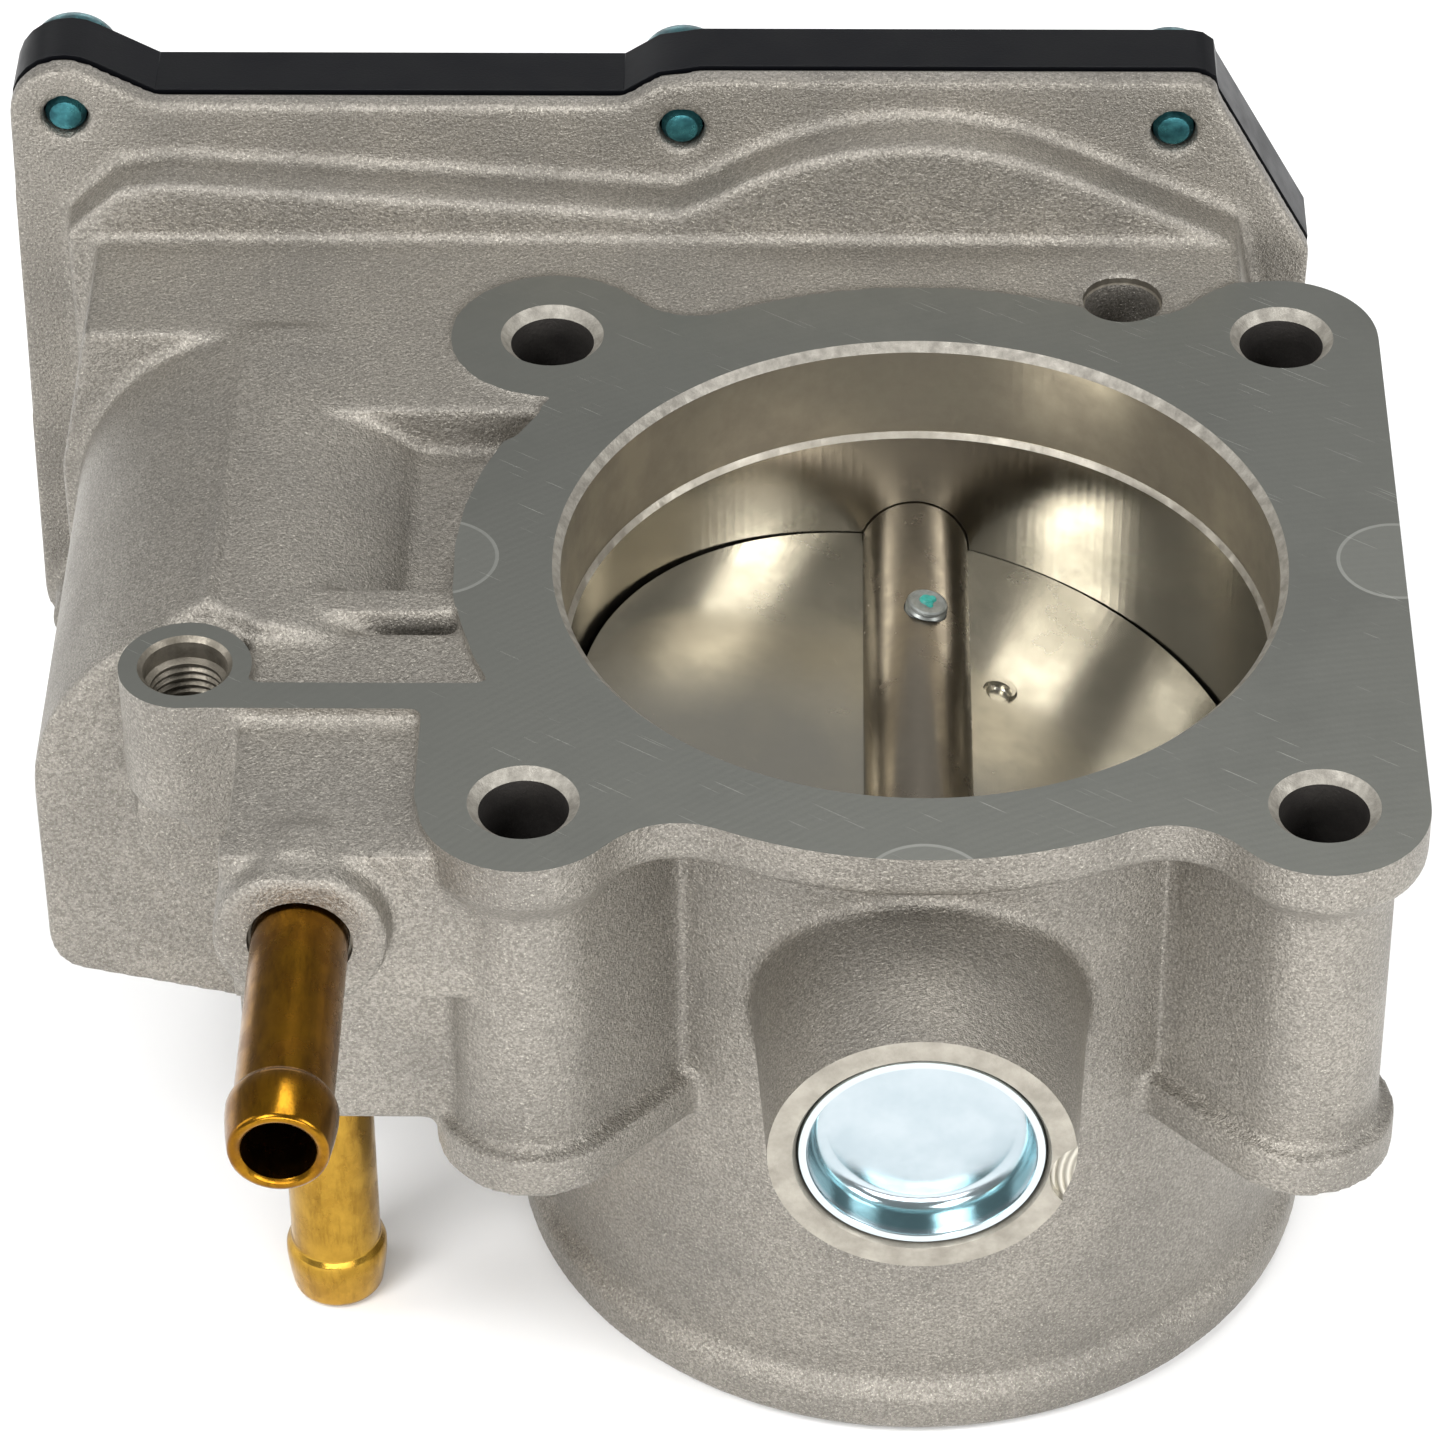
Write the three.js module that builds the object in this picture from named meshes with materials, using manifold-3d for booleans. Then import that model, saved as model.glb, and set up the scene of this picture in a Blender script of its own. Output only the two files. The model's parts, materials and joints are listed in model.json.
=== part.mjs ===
// Electronic throttle body, in millimetres, +Z up.
// The origin is on the throttle bore's axis, in the machined face that bolts to the intake
// manifold. The throttle shaft lies along Y. The gear case closes the +Y end, and the motor
// lies along Y on the -X side.
import * as THREE from "three";
import { mergeVertices } from "three/addons/utils/BufferGeometryUtils.js";
import Module from "manifold-3d";

const wasm = await Module();
wasm.setup();

// ---------------------------------------------------------------- driving dimensions

const gap = 0.3; // clearance between neighbouring pieces

const bore = { radius: 32.5, mouthStep: 0.5, mouthDepth: 10.2, mouthChamfer: 0.4 };
const mouthRadius = bore.radius + bore.mouthStep;

const flange = {
  boltX: bore.radius + 2.5,
  boltY: bore.radius + 2,
  bossRadius: 9.3,
  holeRadius: 4,
  holeChamfer: 1,
  faceWidth: 9, // machined ring round the bore mouth
  motorSide: 0.8, // the ring is this much wider on the motor's side
  thickness: 4.6,
  fillet: 8,
};

const body = {
  wall: 5.1,
  columnRadius: { left: 7.4, right: 6.7 }, // bolt columns under the flange
  footStep: 0.9, // the foot at the lower end of each column stands out this much
  footTop: -35.2,
  footBottom: -39.6,
  length: 75,
  spigotWall: 4.7,
  beadRadius: 38.6,
  beadHeight: 4.5,
};

const shaft = { radius: 5.3, z: -23.9, stubRadius: 4, frontEnd: -bore.radius - 15.4, nutLength: 3.6 };

const plate = {
  thickness: 1.6,
  closedAngle: 6,
  restAngle: 11,
  edgeClearance: 0.3,
  screwY: 16.2,
  screwRadius: 2,
  screwHeadRadius: 3.4,
  screwHeadHeight: 1.5,
};

const bearing = { outerRadius: 11, width: 6, ringWall: 1.6 };
const plug = { face: -bore.radius - 21.4, depth: 5, wall: 1, corner: 0.6, bossRadius: 13.6, bossRoot: 15.9 };
const seal = { outerRadius: 8, width: 3 };
const rearBearing = { outerRadius: 7, start: bore.radius + 1.3, width: 9 };

const stageOne = { module: 0.8, pinionTeeth: 11, wheelTeeth: 50 };
const stageTwo = { module: 1, pinionTeeth: 16, sectorTeeth: 58 };
const idlerDip = 1.7; // degrees below the line that runs from the shaft towards -X
const motorRise = 10.7; // degrees that the motor stands above the idler, seen from it

const motor = { radius: 18, canWall: 1.2, length: 47.4, shaftRadius: 1.6, noseRadius: 6.2, noseLength: 4 };
const motorCase = {
  wall: 2.4,
  endWall: 3,
  bearingBossRadius: 11,
  bearingBossHeight: 3.5,
  cornerRadius: 4, // the barrel's lower left corner is square, with this round
  footDrop: 1.3, // it hangs this much below the round barrel
  footSlope: 4.6, // and this much lower again at its right
};

const gearCase = {
  floor: bore.radius + 8,
  frontFace: bore.radius + 2.3,
  wall: 3,
  roof: -0.3,
  bulgeFace: bore.radius + 18,
  bulgeWall: 2.8,
  rimFace: bore.radius + 23.5,
  joint: bore.radius + 26.1,
};

const cover = { face: gearCase.joint + 6.9, wall: 2.4, panelHeight: 3 };
const coverScrew = { radius: 2, headRadius: 4.6, headHeight: 4 };
const gasket = { inset: 1.5, width: 2, depth: 1.5 };

const pipe = { radius: 4.3, bore: 3.25, beadRadius: 4.85, beadLength: 6, seat: 9 };
const frontPipe = { x: -bore.radius - 21.9, z: -8.6, face: -bore.radius - 11, end: -bore.radius - 37.5 };
const lowerPipe = { x: -bore.radius - 23.2, y: -18, face: -44, end: -75 };
const coolantBlock = {
  left: -bore.radius - 28.4,
  top: -1.5,
  bottom: -18.2,
  front: -bore.radius - 7.7,
  wallFront: -bore.radius - 4.3,
  wallBottom: -36.3,
  bossWall: 2.8, // round each pipe
};

const bracketBoss = { x: -bore.radius - 33.7, y: -15.85, radius: 6.05, holeRadius: 3.6, chamfer: 0.7, bottom: -12.5 };
const blindHole = { x: 20, y: gearCase.floor + 0.7, radius: 3.7, depth: 8.5, wall: 2.4 };

const connector = { width: 24, depth: 13, wall: 1.6, top: -14, bottom: -46, x: -66 };
const pins = { rows: 2, columns: 3, pitch: 4.6, rowPitch: 4.2, width: 1.4, thickness: 0.7, tip: -40 };

// ---------------------------------------------------------------- places worked out from them

const radians = THREE.MathUtils.degToRad;

// A point in the XZ plane, at a distance and an angle (from +X towards +Z) from another.
function polar(centre, distance, degrees) {
  return {
    x: centre.x + distance * Math.cos(radians(degrees)),
    z: centre.z + distance * Math.sin(radians(degrees)),
  };
}

const centreSlack = 0.15; // added to each centre distance, for backlash
const pitchRadius = (module, teeth) => (module * teeth) / 2;
const sectorPitch = pitchRadius(stageTwo.module, stageTwo.sectorTeeth);
const smallPitch = pitchRadius(stageTwo.module, stageTwo.pinionTeeth);
const wheelPitch = pitchRadius(stageOne.module, stageOne.wheelTeeth);
const motorPitch = pitchRadius(stageOne.module, stageOne.pinionTeeth);

const shaftAt = { x: 0, z: shaft.z };
const idlerAngle = 180 + idlerDip;
const idlerAt = polar(shaftAt, sectorPitch + smallPitch + centreSlack, idlerAngle);
const motorAngle = 180 - motorRise;
const motorAt = polar(idlerAt, wheelPitch + motorPitch + centreSlack, motorAngle);

const boreOuter = bore.radius + body.wall;
const flangeDisc = mouthRadius + flange.faceWidth;
const bearingPocket = bearing.outerRadius + gap;
const plugInner = plug.face + plug.depth;
const bearingFront = plugInner + 2 * gap;
const bearingBack = bearingFront + bearing.width;
const sealFront = bearingBack + 2 * gap;

const motorBore = motor.radius + gap;
const motorOuter = motorBore + motorCase.wall;
const motorFront = gearCase.floor - motor.length;
const motorEndFace = motorFront - gap - motorCase.endWall;

const sectorRoom = sectorPitch + 2.8;
const gearWidth = 4.8;
const wheelBottom = gearCase.floor + 5.9;
const wheelTop = wheelBottom + gearWidth;
const sectorBottom = wheelTop + 2.2;
const sectorTop = sectorBottom + gearWidth;

// ---------------------------------------------------------------- solids

function asSolid(item) {
  if (item instanceof wasm.Manifold) return item;
  const bare = item.index ? item.clone() : mergeVertices(item);
  bare.deleteAttribute("normal");
  bare.deleteAttribute("uv");
  const merged = mergeVertices(bare, 1e-4);
  return new wasm.Manifold(
    new wasm.Mesh({
      numProp: 3,
      vertProperties: merged.attributes.position.array,
      triVerts: new Uint32Array(merged.index.array),
    }),
  );
}

const join = (...items) => items.map(asSolid).reduce((sum, next) => sum.add(next));
const cut = (blank, ...tools) => tools.map(asSolid).reduce((rest, tool) => rest.subtract(tool), asSolid(blank));

function asGeometry(item) {
  const mesh = asSolid(item).getMesh();
  const geometry = new THREE.BufferGeometry();
  geometry.setAttribute("position", new THREE.BufferAttribute(mesh.vertProperties, 3));
  geometry.setIndex(new THREE.BufferAttribute(mesh.triVerts, 1));
  geometry.computeVertexNormals();
  return geometry;
}

// A box between two corners.
function block(x0, x1, y0, y1, z0, z1) {
  return new THREE.BoxGeometry(x1 - x0, y1 - y0, z1 - z0).translate((x0 + x1) / 2, (y0 + y1) / 2, (z0 + z1) / 2);
}

// A round bar or cone, along Z or along Y, given its two ends.
function roundZ(x, y, z0, z1, radius, endRadius = radius, sides = 32) {
  return new THREE.CylinderGeometry(endRadius, radius, z1 - z0, sides)
    .rotateX(Math.PI / 2)
    .translate(x, y, (z0 + z1) / 2);
}

function roundY(x, z, y0, y1, radius, endRadius = radius, sides = 32) {
  return new THREE.CylinderGeometry(endRadius, radius, y1 - y0, sides).translate(x, (y0 + y1) / 2, z);
}

// A slab with an outline in XY that stands along Z, and one with an outline in XZ along Y.
function slabZ(points, z0, z1) {
  const shape = new THREE.Shape(points.map(([x, y]) => new THREE.Vector2(x, y)));
  return new THREE.ExtrudeGeometry(shape, { depth: z1 - z0, bevelEnabled: false }).translate(0, 0, z0);
}

function slabY(points, y0, y1) {
  return slabZ(points, 0, y1 - y0).rotateX(Math.PI / 2).translate(0, y1, 0);
}

// A turned piece: the profile lists [radius, place along the axis].
function turnedY(x, z, profile, sides = 32) {
  return new THREE.LatheGeometry(profile.map(([r, y]) => new THREE.Vector2(r, y)), sides).translate(x, 0, z);
}

function turnedZ(x, y, profile, sides = 32) {
  return new THREE.LatheGeometry(profile.map(([r, z]) => new THREE.Vector2(r, z)), sides)
    .rotateX(Math.PI / 2)
    .translate(x, y, 0);
}

function ringY(centre, y0, y1, inner, outer, sides = 28) {
  const profile = [[inner, y0], [outer, y0], [outer, y1], [inner, y1], [inner, y0]];
  return turnedY(centre.x, centre.z, profile, sides);
}

// Points of an arc, in degrees, about one every ten.
function arc(x, y, radius, from, to, step = 10) {
  const count = Math.max(1, Math.round(Math.abs(to - from) / step));
  return Array.from({ length: count + 1 }, (_, i) => {
    const angle = radians(from + ((to - from) * i) / count);
    return [x + radius * Math.cos(angle), y + radius * Math.sin(angle)];
  });
}

// The same outline, grown by a distance. The points run anticlockwise.
function grow(points, distance) {
  return points.map((point, i) => {
    const before = points[(i + points.length - 1) % points.length];
    const after = points[(i + 1) % points.length];
    const a = new THREE.Vector2(point[1] - before[1], before[0] - point[0]).normalize();
    const b = new THREE.Vector2(after[1] - point[1], point[0] - after[0]).normalize();
    const mitre = a.clone().add(b);
    mitre.multiplyScalar(distance / (1 + a.dot(b)));
    return [point[0] + mitre.x, point[1] + mitre.y];
  });
}

// The outline of a belt round two circles, anticlockwise.
function belt(x0, y0, r0, x1, y1, r1, step = 20) {
  const along = THREE.MathUtils.radToDeg(Math.atan2(y1 - y0, x1 - x0));
  const lean = THREE.MathUtils.radToDeg(Math.acos((r0 - r1) / Math.hypot(x1 - x0, y1 - y0)));
  return [
    ...arc(x0, y0, r0, along + lean, along + 360 - lean, step),
    ...arc(x1, y1, r1, along - lean, along + lean, step),
  ];
}

// ---------------------------------------------------------------- gears

// One tooth is a flank up, a tip and a flank down, as parts of the tooth pitch.
const tooth = { rootHalf: 0.31, tipHalf: 0.11, addendum: 0.85, dedendum: 1.2 };

function toothPoints(centre, module, teeth, degrees) {
  const radius = pitchRadius(module, teeth);
  const pitch = 360 / teeth;
  const at = (r, share) => {
    const point = polar(centre, r, degrees + share * pitch);
    return [point.x, point.z];
  };
  const root = radius - tooth.dedendum * module;
  const tip = radius + tooth.addendum * module;
  return [
    at(root, -tooth.rootHalf),
    at(tip, -tooth.tipHalf),
    at(tip, tooth.tipHalf),
    at(root, tooth.rootHalf),
  ];
}

// A whole gear's outline, with a tooth (or a space) centred on the meshing direction.
function gearOutline(centre, module, teeth, meshDegrees, spaceAtMesh = false) {
  const pitch = 360 / teeth;
  const start = meshDegrees + (spaceAtMesh ? pitch / 2 : 0);
  return Array.from({ length: teeth }, (_, i) => toothPoints(centre, module, teeth, start + i * pitch)).flat();
}

// ---------------------------------------------------------------- outlines of the gear case

const caseLeft = motorAt.x - motorBore - 1;
const caseBottom = idlerAt.z - wheelPitch - 2.8;
const caseRoof = gearCase.roof - gearCase.wall;
const lowerJoin = 180 + THREE.MathUtils.radToDeg(Math.asin((shaft.z - caseBottom) / sectorRoom));

// The chamber's floor plan up to where its roof starts: a round corner under the motor, and the
// sector gear's swing. Its right side leans in a little towards the roof.
const caseCorner = 8;
function lowerOutline() {
  return [
    ...arc(caseLeft + caseCorner, caseBottom + caseCorner, caseCorner, 180, 270, 22.5),
    ...arc(0, shaft.z, sectorRoom, lowerJoin, 365),
    [sectorRoom - 0.8, -12],
  ];
}

// The left wall leans in above the motor's axis.
const leftLean = { in: 2.8, drop: 14 };

// The deep part of the chamber, under the flat roof.
function deepOutline() {
  return [
    ...lowerOutline(),
    [sectorRoom - 2.6, caseRoof],
    [caseLeft + leftLean.in, caseRoof],
    [caseLeft, caseRoof - leftLean.drop],
  ];
}

// The wide part at the cover, whose roof bulges up over the sector gear's swing.
const bulge = {
  nearGear: 3.3, // how far its inner roof stands above the flat one beside the sector's arch
  nearMotor: 6.6, // and above the motor, where it is highest
  atLeft: 2.4, // and at the left wall
  archFrom: 66, // degrees round the shaft where the sector's arch starts and ends
  archTo: 125,
};
function wideOutline() {
  return [
    ...lowerOutline(),
    [sectorRoom - 3.2, caseRoof + 1.1],
    ...arc(0, shaft.z, sectorRoom, bulge.archFrom, bulge.archTo, 8),
    [-sectorRoom * 0.72, caseRoof + bulge.nearGear],
    [motorAt.x - 12, caseRoof + bulge.nearMotor],
    [motorAt.x - 15.5, caseRoof + bulge.nearMotor - 0.6],
    [caseLeft, caseRoof + bulge.atLeft],
  ];
}

// The cover screws, clockwise from the top left, and the lugs round them.
const rimReach = sectorRoom + 7.2;
const coverScrews = [
  { name: "top_left", x: caseLeft - 2.7, z: 10.3 },
  { name: "top_middle", x: -22.9, z: 9 },
  { name: "top_right", x: 25.2, z: 8.9 },
  { name: "bottom_right", ...polar(shaftAt, rimReach, -45) },
  { name: "bottom_middle", ...polar(shaftAt, rimReach, -125) },
  { name: "bottom_left", x: caseLeft - 3.8, z: caseBottom - 1.1 },
];
const lug = 5.5;

// The rim's outline, which the cover shares.
function rimOutline() {
  const [topLeft, , , bottomRight, bottomMiddle, bottomLeft] = coverScrews;
  const top = 14.7;
  const shoulder = 11.8;
  return [
    ...arc(bottomLeft.x, bottomLeft.z, lug, 180, 265, 17),
    ...arc(bottomMiddle.x, bottomMiddle.z, lug, 265, 290, 12),
    ...arc(0, shaft.z, rimReach + 0.9, 262, 297, 12),
    ...arc(bottomRight.x, bottomRight.z, lug, 295, 370, 15),
    ...arc(0, shaft.z, rimReach + 0.4, 342, 370, 14),
    [39.2, -5.3],
    [29.6, 12.3],
    ...arc(27, top - 3, 3, 40, 90, 25),
    [-21, top],
    [-25.2, top - 0.7],
    [-28.6, shoulder],
    [-74.6, shoulder],
    ...arc(topLeft.x, topLeft.z, lug, 58, 180, 15),
  ];
}

// ---------------------------------------------------------------- the casting

// The concave corner between a bolt boss and the flange's round face.
function flangeFillet(signX, signY) {
  const toBoss = Math.hypot(flange.boltX, flange.boltY);
  const far = flangeDisc + flange.fillet;
  const near = flange.bossRadius + flange.fillet;
  const turn = Math.acos((far * far + toBoss * toBoss - near * near) / (2 * far * toBoss));
  const angle = Math.atan2(flange.boltY, flange.boltX) + turn;
  const centre = [far * Math.cos(angle), far * Math.sin(angle)];
  const toDisc = THREE.MathUtils.radToDeg(angle) - 180;
  const bossTurn = Math.atan2(flange.boltY - centre[1], flange.boltX - centre[0]);
  const curve = arc(centre[0], centre[1], flange.fillet, toDisc, THREE.MathUtils.radToDeg(bossTurn), 12);
  const points = [...curve, [flange.boltX * 0.8, flange.boltY * 0.8]];
  const flipped = points.map(([x, y]) => [signX * x, signY * y]);
  return slabZ(signX * signY > 0 ? flipped : flipped.reverse(), -flange.thickness, 0);
}

const corners = [
  { name: "front_left", x: -1, y: -1 },
  { name: "front_right", x: 1, y: -1 },
  { name: "rear_right", x: 1, y: 1 },
  { name: "rear_left", x: -1, y: 1 },
];

function flangePlate() {
  const { boltX, boltY, bossRadius, thickness } = flange;
  const side = boltX + bossRadius;
  const motorSide = [...arc(0, 0, flangeDisc + flange.motorSide, 155, 207, 8), [-boltX / 2, 0]];
  return join(
    roundZ(0, 0, -thickness, 0, flangeDisc, flangeDisc, 56),
    slabZ(motorSide, -thickness, 0),
    ...corners.map((c) => roundZ(c.x * boltX, c.y * boltY, -thickness, 0, bossRadius, bossRadius, 24)),
    ...corners.map((c) => flangeFillet(c.x, c.y)),
    block(boltX - flange.fillet, side, -boltY, boltY, -thickness, 0),
    block(-side - 0.3, -boltX + flange.fillet, -boltY, bracketBoss.y - 2.3, -thickness, 0),
  );
}

function boltColumns() {
  const parts = corners.flatMap((c) => {
    const x = c.x * flange.boltX;
    const y = c.y * flange.boltY;
    const radius = c.x < 0 ? body.columnRadius.left : body.columnRadius.right;
    return [
      slabZ(belt(x, y, radius, 0, 0, 5), body.footBottom, -flange.thickness / 2),
      slabZ(belt(x, y, radius + body.footStep, 0, 0, 5.7), body.footBottom, body.footTop),
      roundZ(x, y, -flange.thickness - 2, -flange.thickness, radius, flange.bossRadius, 20),
    ];
  });
  return join(...parts);
}

function boreBody() {
  const spigot = bore.radius + body.spigotWall;
  const profile = [
    [0, -body.length],
    [body.beadRadius - 1, -body.length],
    [body.beadRadius, -body.length + 1],
    [body.beadRadius, -body.length + body.beadHeight],
    [spigot, -body.length + body.beadHeight + 1.2],
    [boreOuter, body.footBottom],
    [boreOuter, -1],
    [0, -1],
  ];
  return join(
    turnedZ(0, 0, profile, 56),
    roundY(0, shaft.z, plug.face, -boreOuter + 12, plug.bossRadius, plug.bossRoot, 36),
  );
}

function motorBarrel() {
  const { x, z } = motorAt;
  const back = gearCase.frontFace + 1;
  const left = x - motorOuter;
  const bottom = z - motorOuter - motorCase.footDrop;
  const r = motorCase.cornerRadius;
  const bossFace = motorEndFace - motorCase.bearingBossHeight;
  const footRight = x + 3;
  const foot = [
    ...arc(left + r, bottom + r, r, 180, 270, 30),
    [footRight, bottom - motorCase.footSlope],
    [footRight, z],
    [left, z],
  ];
  return join(
    roundY(x, z, motorEndFace, back, motorOuter, motorOuter, 40),
    slabY(foot, motorEndFace, back),
    roundY(x, z, bossFace, motorEndFace + 1, motorCase.bearingBossRadius, motorCase.bearingBossRadius, 28),
  );
}

// The ribs and fillings between the motor barrel, the bore and the flange.
const saddle = {
  bottom: -36,
  top: -5.2, // the filling between the barrel and the bore
  frontTop: -7, // and in front of the rib
  ribFront: -7.5,
  ribWidth: 3.5,
  ribTop: -0.5,
  rearStart: gearCase.floor - 17.7, // the filling rises to the roof from here
  rearLeft: 4.5,
};
const web = { width: 3.6, depth: 16 }; // from the bracket boss to the flange
function bridges() {
  const { x, y, radius, bottom } = bracketBoss;
  const front = y - radius;
  const inner = -bore.radius - 2;
  const back = gearCase.frontFace + 1;
  const ribBack = saddle.ribFront + saddle.ribWidth;
  const dome = 0.45; // how far the boss's round end stands out, as a part of its radius
  return join(
    block(motorAt.x, inner, motorEndFace, back, saddle.bottom, saddle.top),
    block(motorAt.x, inner, saddle.ribFront, ribBack, saddle.bottom, saddle.ribTop),
    block(motorAt.x + saddle.rearLeft, inner + 4, saddle.rearStart, back, saddle.bottom, gearCase.roof),
    block(motorAt.x, inner, front + 1, saddle.ribFront + 1, saddle.bottom, saddle.frontTop),
    roundZ(x, y, bottom, 0, radius, radius, 20),
    new THREE.SphereGeometry(radius, 20, 8).scale(1, 1, dome).rotateZ(Math.PI).translate(x, y, bottom),
    block(x, inner, front + 0.1, front + 0.1 + web.width, -web.depth, 0),
  );
}

function coolantBody() {
  const { left, top, bottom, front, wallFront, wallBottom } = coolantBlock;
  const inner = -flange.boltX;
  const back = motorEndFace + 1;
  const round = pipe.radius + coolantBlock.bossWall;
  const { x } = frontPipe;
  return join(
    block(left, inner, front, back, bottom, top),
    block(left, inner, wallFront, back, wallBottom, bottom + 1),
    roundY(x, frontPipe.z, frontPipe.face, front + 3, round, round, 32),
    block(x - round, x + round, frontPipe.face, front + 3, frontPipe.z, top),
    roundZ(lowerPipe.x, lowerPipe.y, lowerPipe.face, -20, round, round, 32),
  );
}

function gearCaseBody() {
  const { frontFace, bulgeFace, bulgeWall, rimFace, joint, wall } = gearCase;
  const innerLug = 4.2;
  return join(
    slabY(grow(deepOutline(), wall), frontFace, rimFace),
    slabY(grow(wideOutline(), bulgeWall), bulgeFace, rimFace + 1),
    slabY(rimOutline(), rimFace, joint),
    ...coverScrews.slice(3).map((s) => roundY(s.x, s.z, bulgeFace, rimFace + 1, innerLug, innerLug, 20)),
  );
}

// Threads are left as plain holes at the thread's outer size.
function flangeCuts() {
  const { boltX, boltY, holeRadius, holeChamfer } = flange;
  const over = 1;
  const bolts = corners.map((c) =>
    join(
      roundZ(c.x * boltX, c.y * boltY, body.footBottom - over, over, holeRadius, holeRadius, 20),
      roundZ(c.x * boltX, c.y * boltY, -holeChamfer, 0.2, holeRadius, holeRadius + holeChamfer + 0.2, 20),
    ),
  );
  const { x, y, holeRadius: tapped, chamfer, bottom } = bracketBoss;
  return [
    ...bolts,
    roundZ(x, y, bottom, over, tapped, tapped, 20),
    roundZ(x, y, -chamfer, 0.2, tapped, tapped + chamfer + 0.2, 20),
    roundZ(blindHole.x, blindHole.y, gearCase.roof - blindHole.depth, over, blindHole.radius, blindHole.radius, 24),
  ];
}

function boreCuts() {
  const { radius, mouthDepth, mouthChamfer } = bore;
  const end = -body.length;
  const profile = [
    [0, end - 1],
    [radius + 2.5, end - 1],
    [radius, end + 3],
    [radius, -mouthDepth],
    [mouthRadius, -mouthDepth],
    [mouthRadius, -mouthChamfer],
    [mouthRadius + mouthChamfer + 1, 1],
    [0, 1],
  ];
  return [turnedZ(0, 0, profile, 56)];
}

function shaftCuts() {
  const { x, z } = shaftAt;
  const hole = shaft.radius + gap;
  const rearSeal = rearBearing.start + rearBearing.width + gap;
  return [
    roundY(x, z, plug.face - 1, bearingBack + gap, bearingPocket, bearingPocket, 36),
    roundY(x, z, bearingBack, sealFront + seal.width + gap, seal.outerRadius + gap),
    roundY(x, z, bearingBack, rearSeal + 20, hole, hole, 28),
    roundY(x, z, rearBearing.start - gap, rearSeal + 20, rearBearing.outerRadius + gap),
    roundY(x, z, rearSeal, rearSeal + 20, seal.outerRadius + gap),
  ];
}

function coolantCuts() {
  const seatRadius = pipe.radius + gap;
  const frontSeat = frontPipe.face + pipe.seat;
  const lowerSeat = lowerPipe.face + pipe.seat;
  return [
    roundY(frontPipe.x, frontPipe.z, frontPipe.face - 1, frontSeat, seatRadius, seatRadius, 24),
    roundY(frontPipe.x, frontPipe.z, frontSeat - 1, lowerPipe.y + pipe.bore, pipe.bore, pipe.bore, 20),
    roundZ(lowerPipe.x, lowerPipe.y, lowerPipe.face - 1, lowerSeat, seatRadius, seatRadius, 24),
    roundZ(lowerPipe.x, lowerPipe.y, lowerSeat - 1, frontPipe.z, pipe.bore, pipe.bore, 20),
  ];
}

const motorScrews = [25, 245].map((degrees) => polar(motorAt, motorBore + 4.2, degrees));
const motorScrewRadius = 1.5;
const motorScrewStart = gearCase.frontFace + 1.5;
const rearBoss = { radius: seal.outerRadius + 2.5, top: rearBearing.start + rearBearing.width + seal.width + 1.2 };
const idlerPin = { radius: 2.5, start: gearCase.floor - 4, end: gearCase.joint + 2.9 };
const stopPost = { radius: 3, reach: sectorPitch - 1 };
const stopHalfAngle = THREE.MathUtils.radToDeg(Math.asin((stopPost.radius + 1.1) / stopPost.reach));

// The sector's toothed edge at rest, and the stop posts at its two ends of travel.
const closedTurn = plate.closedAngle - plate.restAngle;
const openTurn = 90 - plate.restAngle;
const sectorMargin = 8;
const sectorFrom = idlerAngle + closedTurn - sectorMargin;
const sectorTo = idlerAngle + openTurn + sectorMargin;
const closedStop = polar(shaftAt, stopPost.reach, sectorTo - closedTurn + stopHalfAngle);
const openStop = polar(shaftAt, stopPost.reach, sectorFrom - openTurn - stopHalfAngle);

function housing() {
  const shell = join(
    flangePlate(),
    boltColumns(),
    boreBody(),
    motorBarrel(),
    bridges(),
    coolantBody(),
    gearCaseBody(),
  );
  const hollow = cut(
    shell,
    slabY(deepOutline(), gearCase.floor, gearCase.bulgeFace + gearCase.bulgeWall + 1),
    slabY(wideOutline(), gearCase.bulgeFace + gearCase.bulgeWall, gearCase.joint + 1),
    roundY(motorAt.x, motorAt.z, motorFront - gap, gearCase.floor + 1, motorBore, motorBore, 36),
    ...boreCuts(),
  );
  const outer = grow(wideOutline(), gasket.inset + gasket.width);
  const inner = grow(wideOutline(), gasket.inset);
  const groove = cut(
    slabY(outer, gearCase.joint - gasket.depth, gearCase.joint + 1),
    slabY(inner, gearCase.joint - gasket.depth - 1, gearCase.joint + 2),
  );
  const blindBoss = blindHole.radius + blindHole.wall;
  const blindEnd = gearCase.roof - blindHole.depth - blindHole.wall;
  const withPosts = join(
    hollow,
    roundZ(blindHole.x, blindHole.y, blindEnd, gearCase.roof - 1, blindBoss, blindBoss, 24),
    roundY(0, shaft.z, gearCase.floor - 2, rearBoss.top, rearBoss.radius, rearBoss.radius, 32),
    roundY(idlerAt.x, idlerAt.z, gearCase.floor - 1, gearCase.floor + 4, 5, 5, 24),
    roundY(closedStop.x, closedStop.z, gearCase.floor - 1, sectorTop, stopPost.radius, stopPost.radius, 16),
    roundY(openStop.x, openStop.z, gearCase.bulgeFace + 1, sectorTop, stopPost.radius, stopPost.radius, 16),
  );
  const nose = motor.noseRadius + gap;
  const noseEnd = motorFront - motor.noseLength;
  return cut(
    withPosts,
    groove,
    ...flangeCuts(),
    ...shaftCuts(),
    ...coolantCuts(),
    roundY(motorAt.x, motorAt.z, noseEnd - gap, motorFront, nose, nose, 24),
    ...motorScrews.map((s) =>
      roundY(s.x, s.z, motorScrewStart - gap, gearCase.floor + 1, motorScrewRadius + gap, motorScrewRadius + gap, 12),
    ),
    roundY(idlerAt.x, idlerAt.z, idlerPin.start - gap, gearCase.floor + 5, idlerPin.radius + gap, idlerPin.radius + gap, 20),
    ...coverScrews.map((s) => roundY(s.x, s.z, gearCase.bulgeFace - 1, gearCase.joint + 1, coverScrew.radius + gap, coverScrew.radius + gap, 14)),
  );
}

// ---------------------------------------------------------------- shaft, plate and bearings

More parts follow.
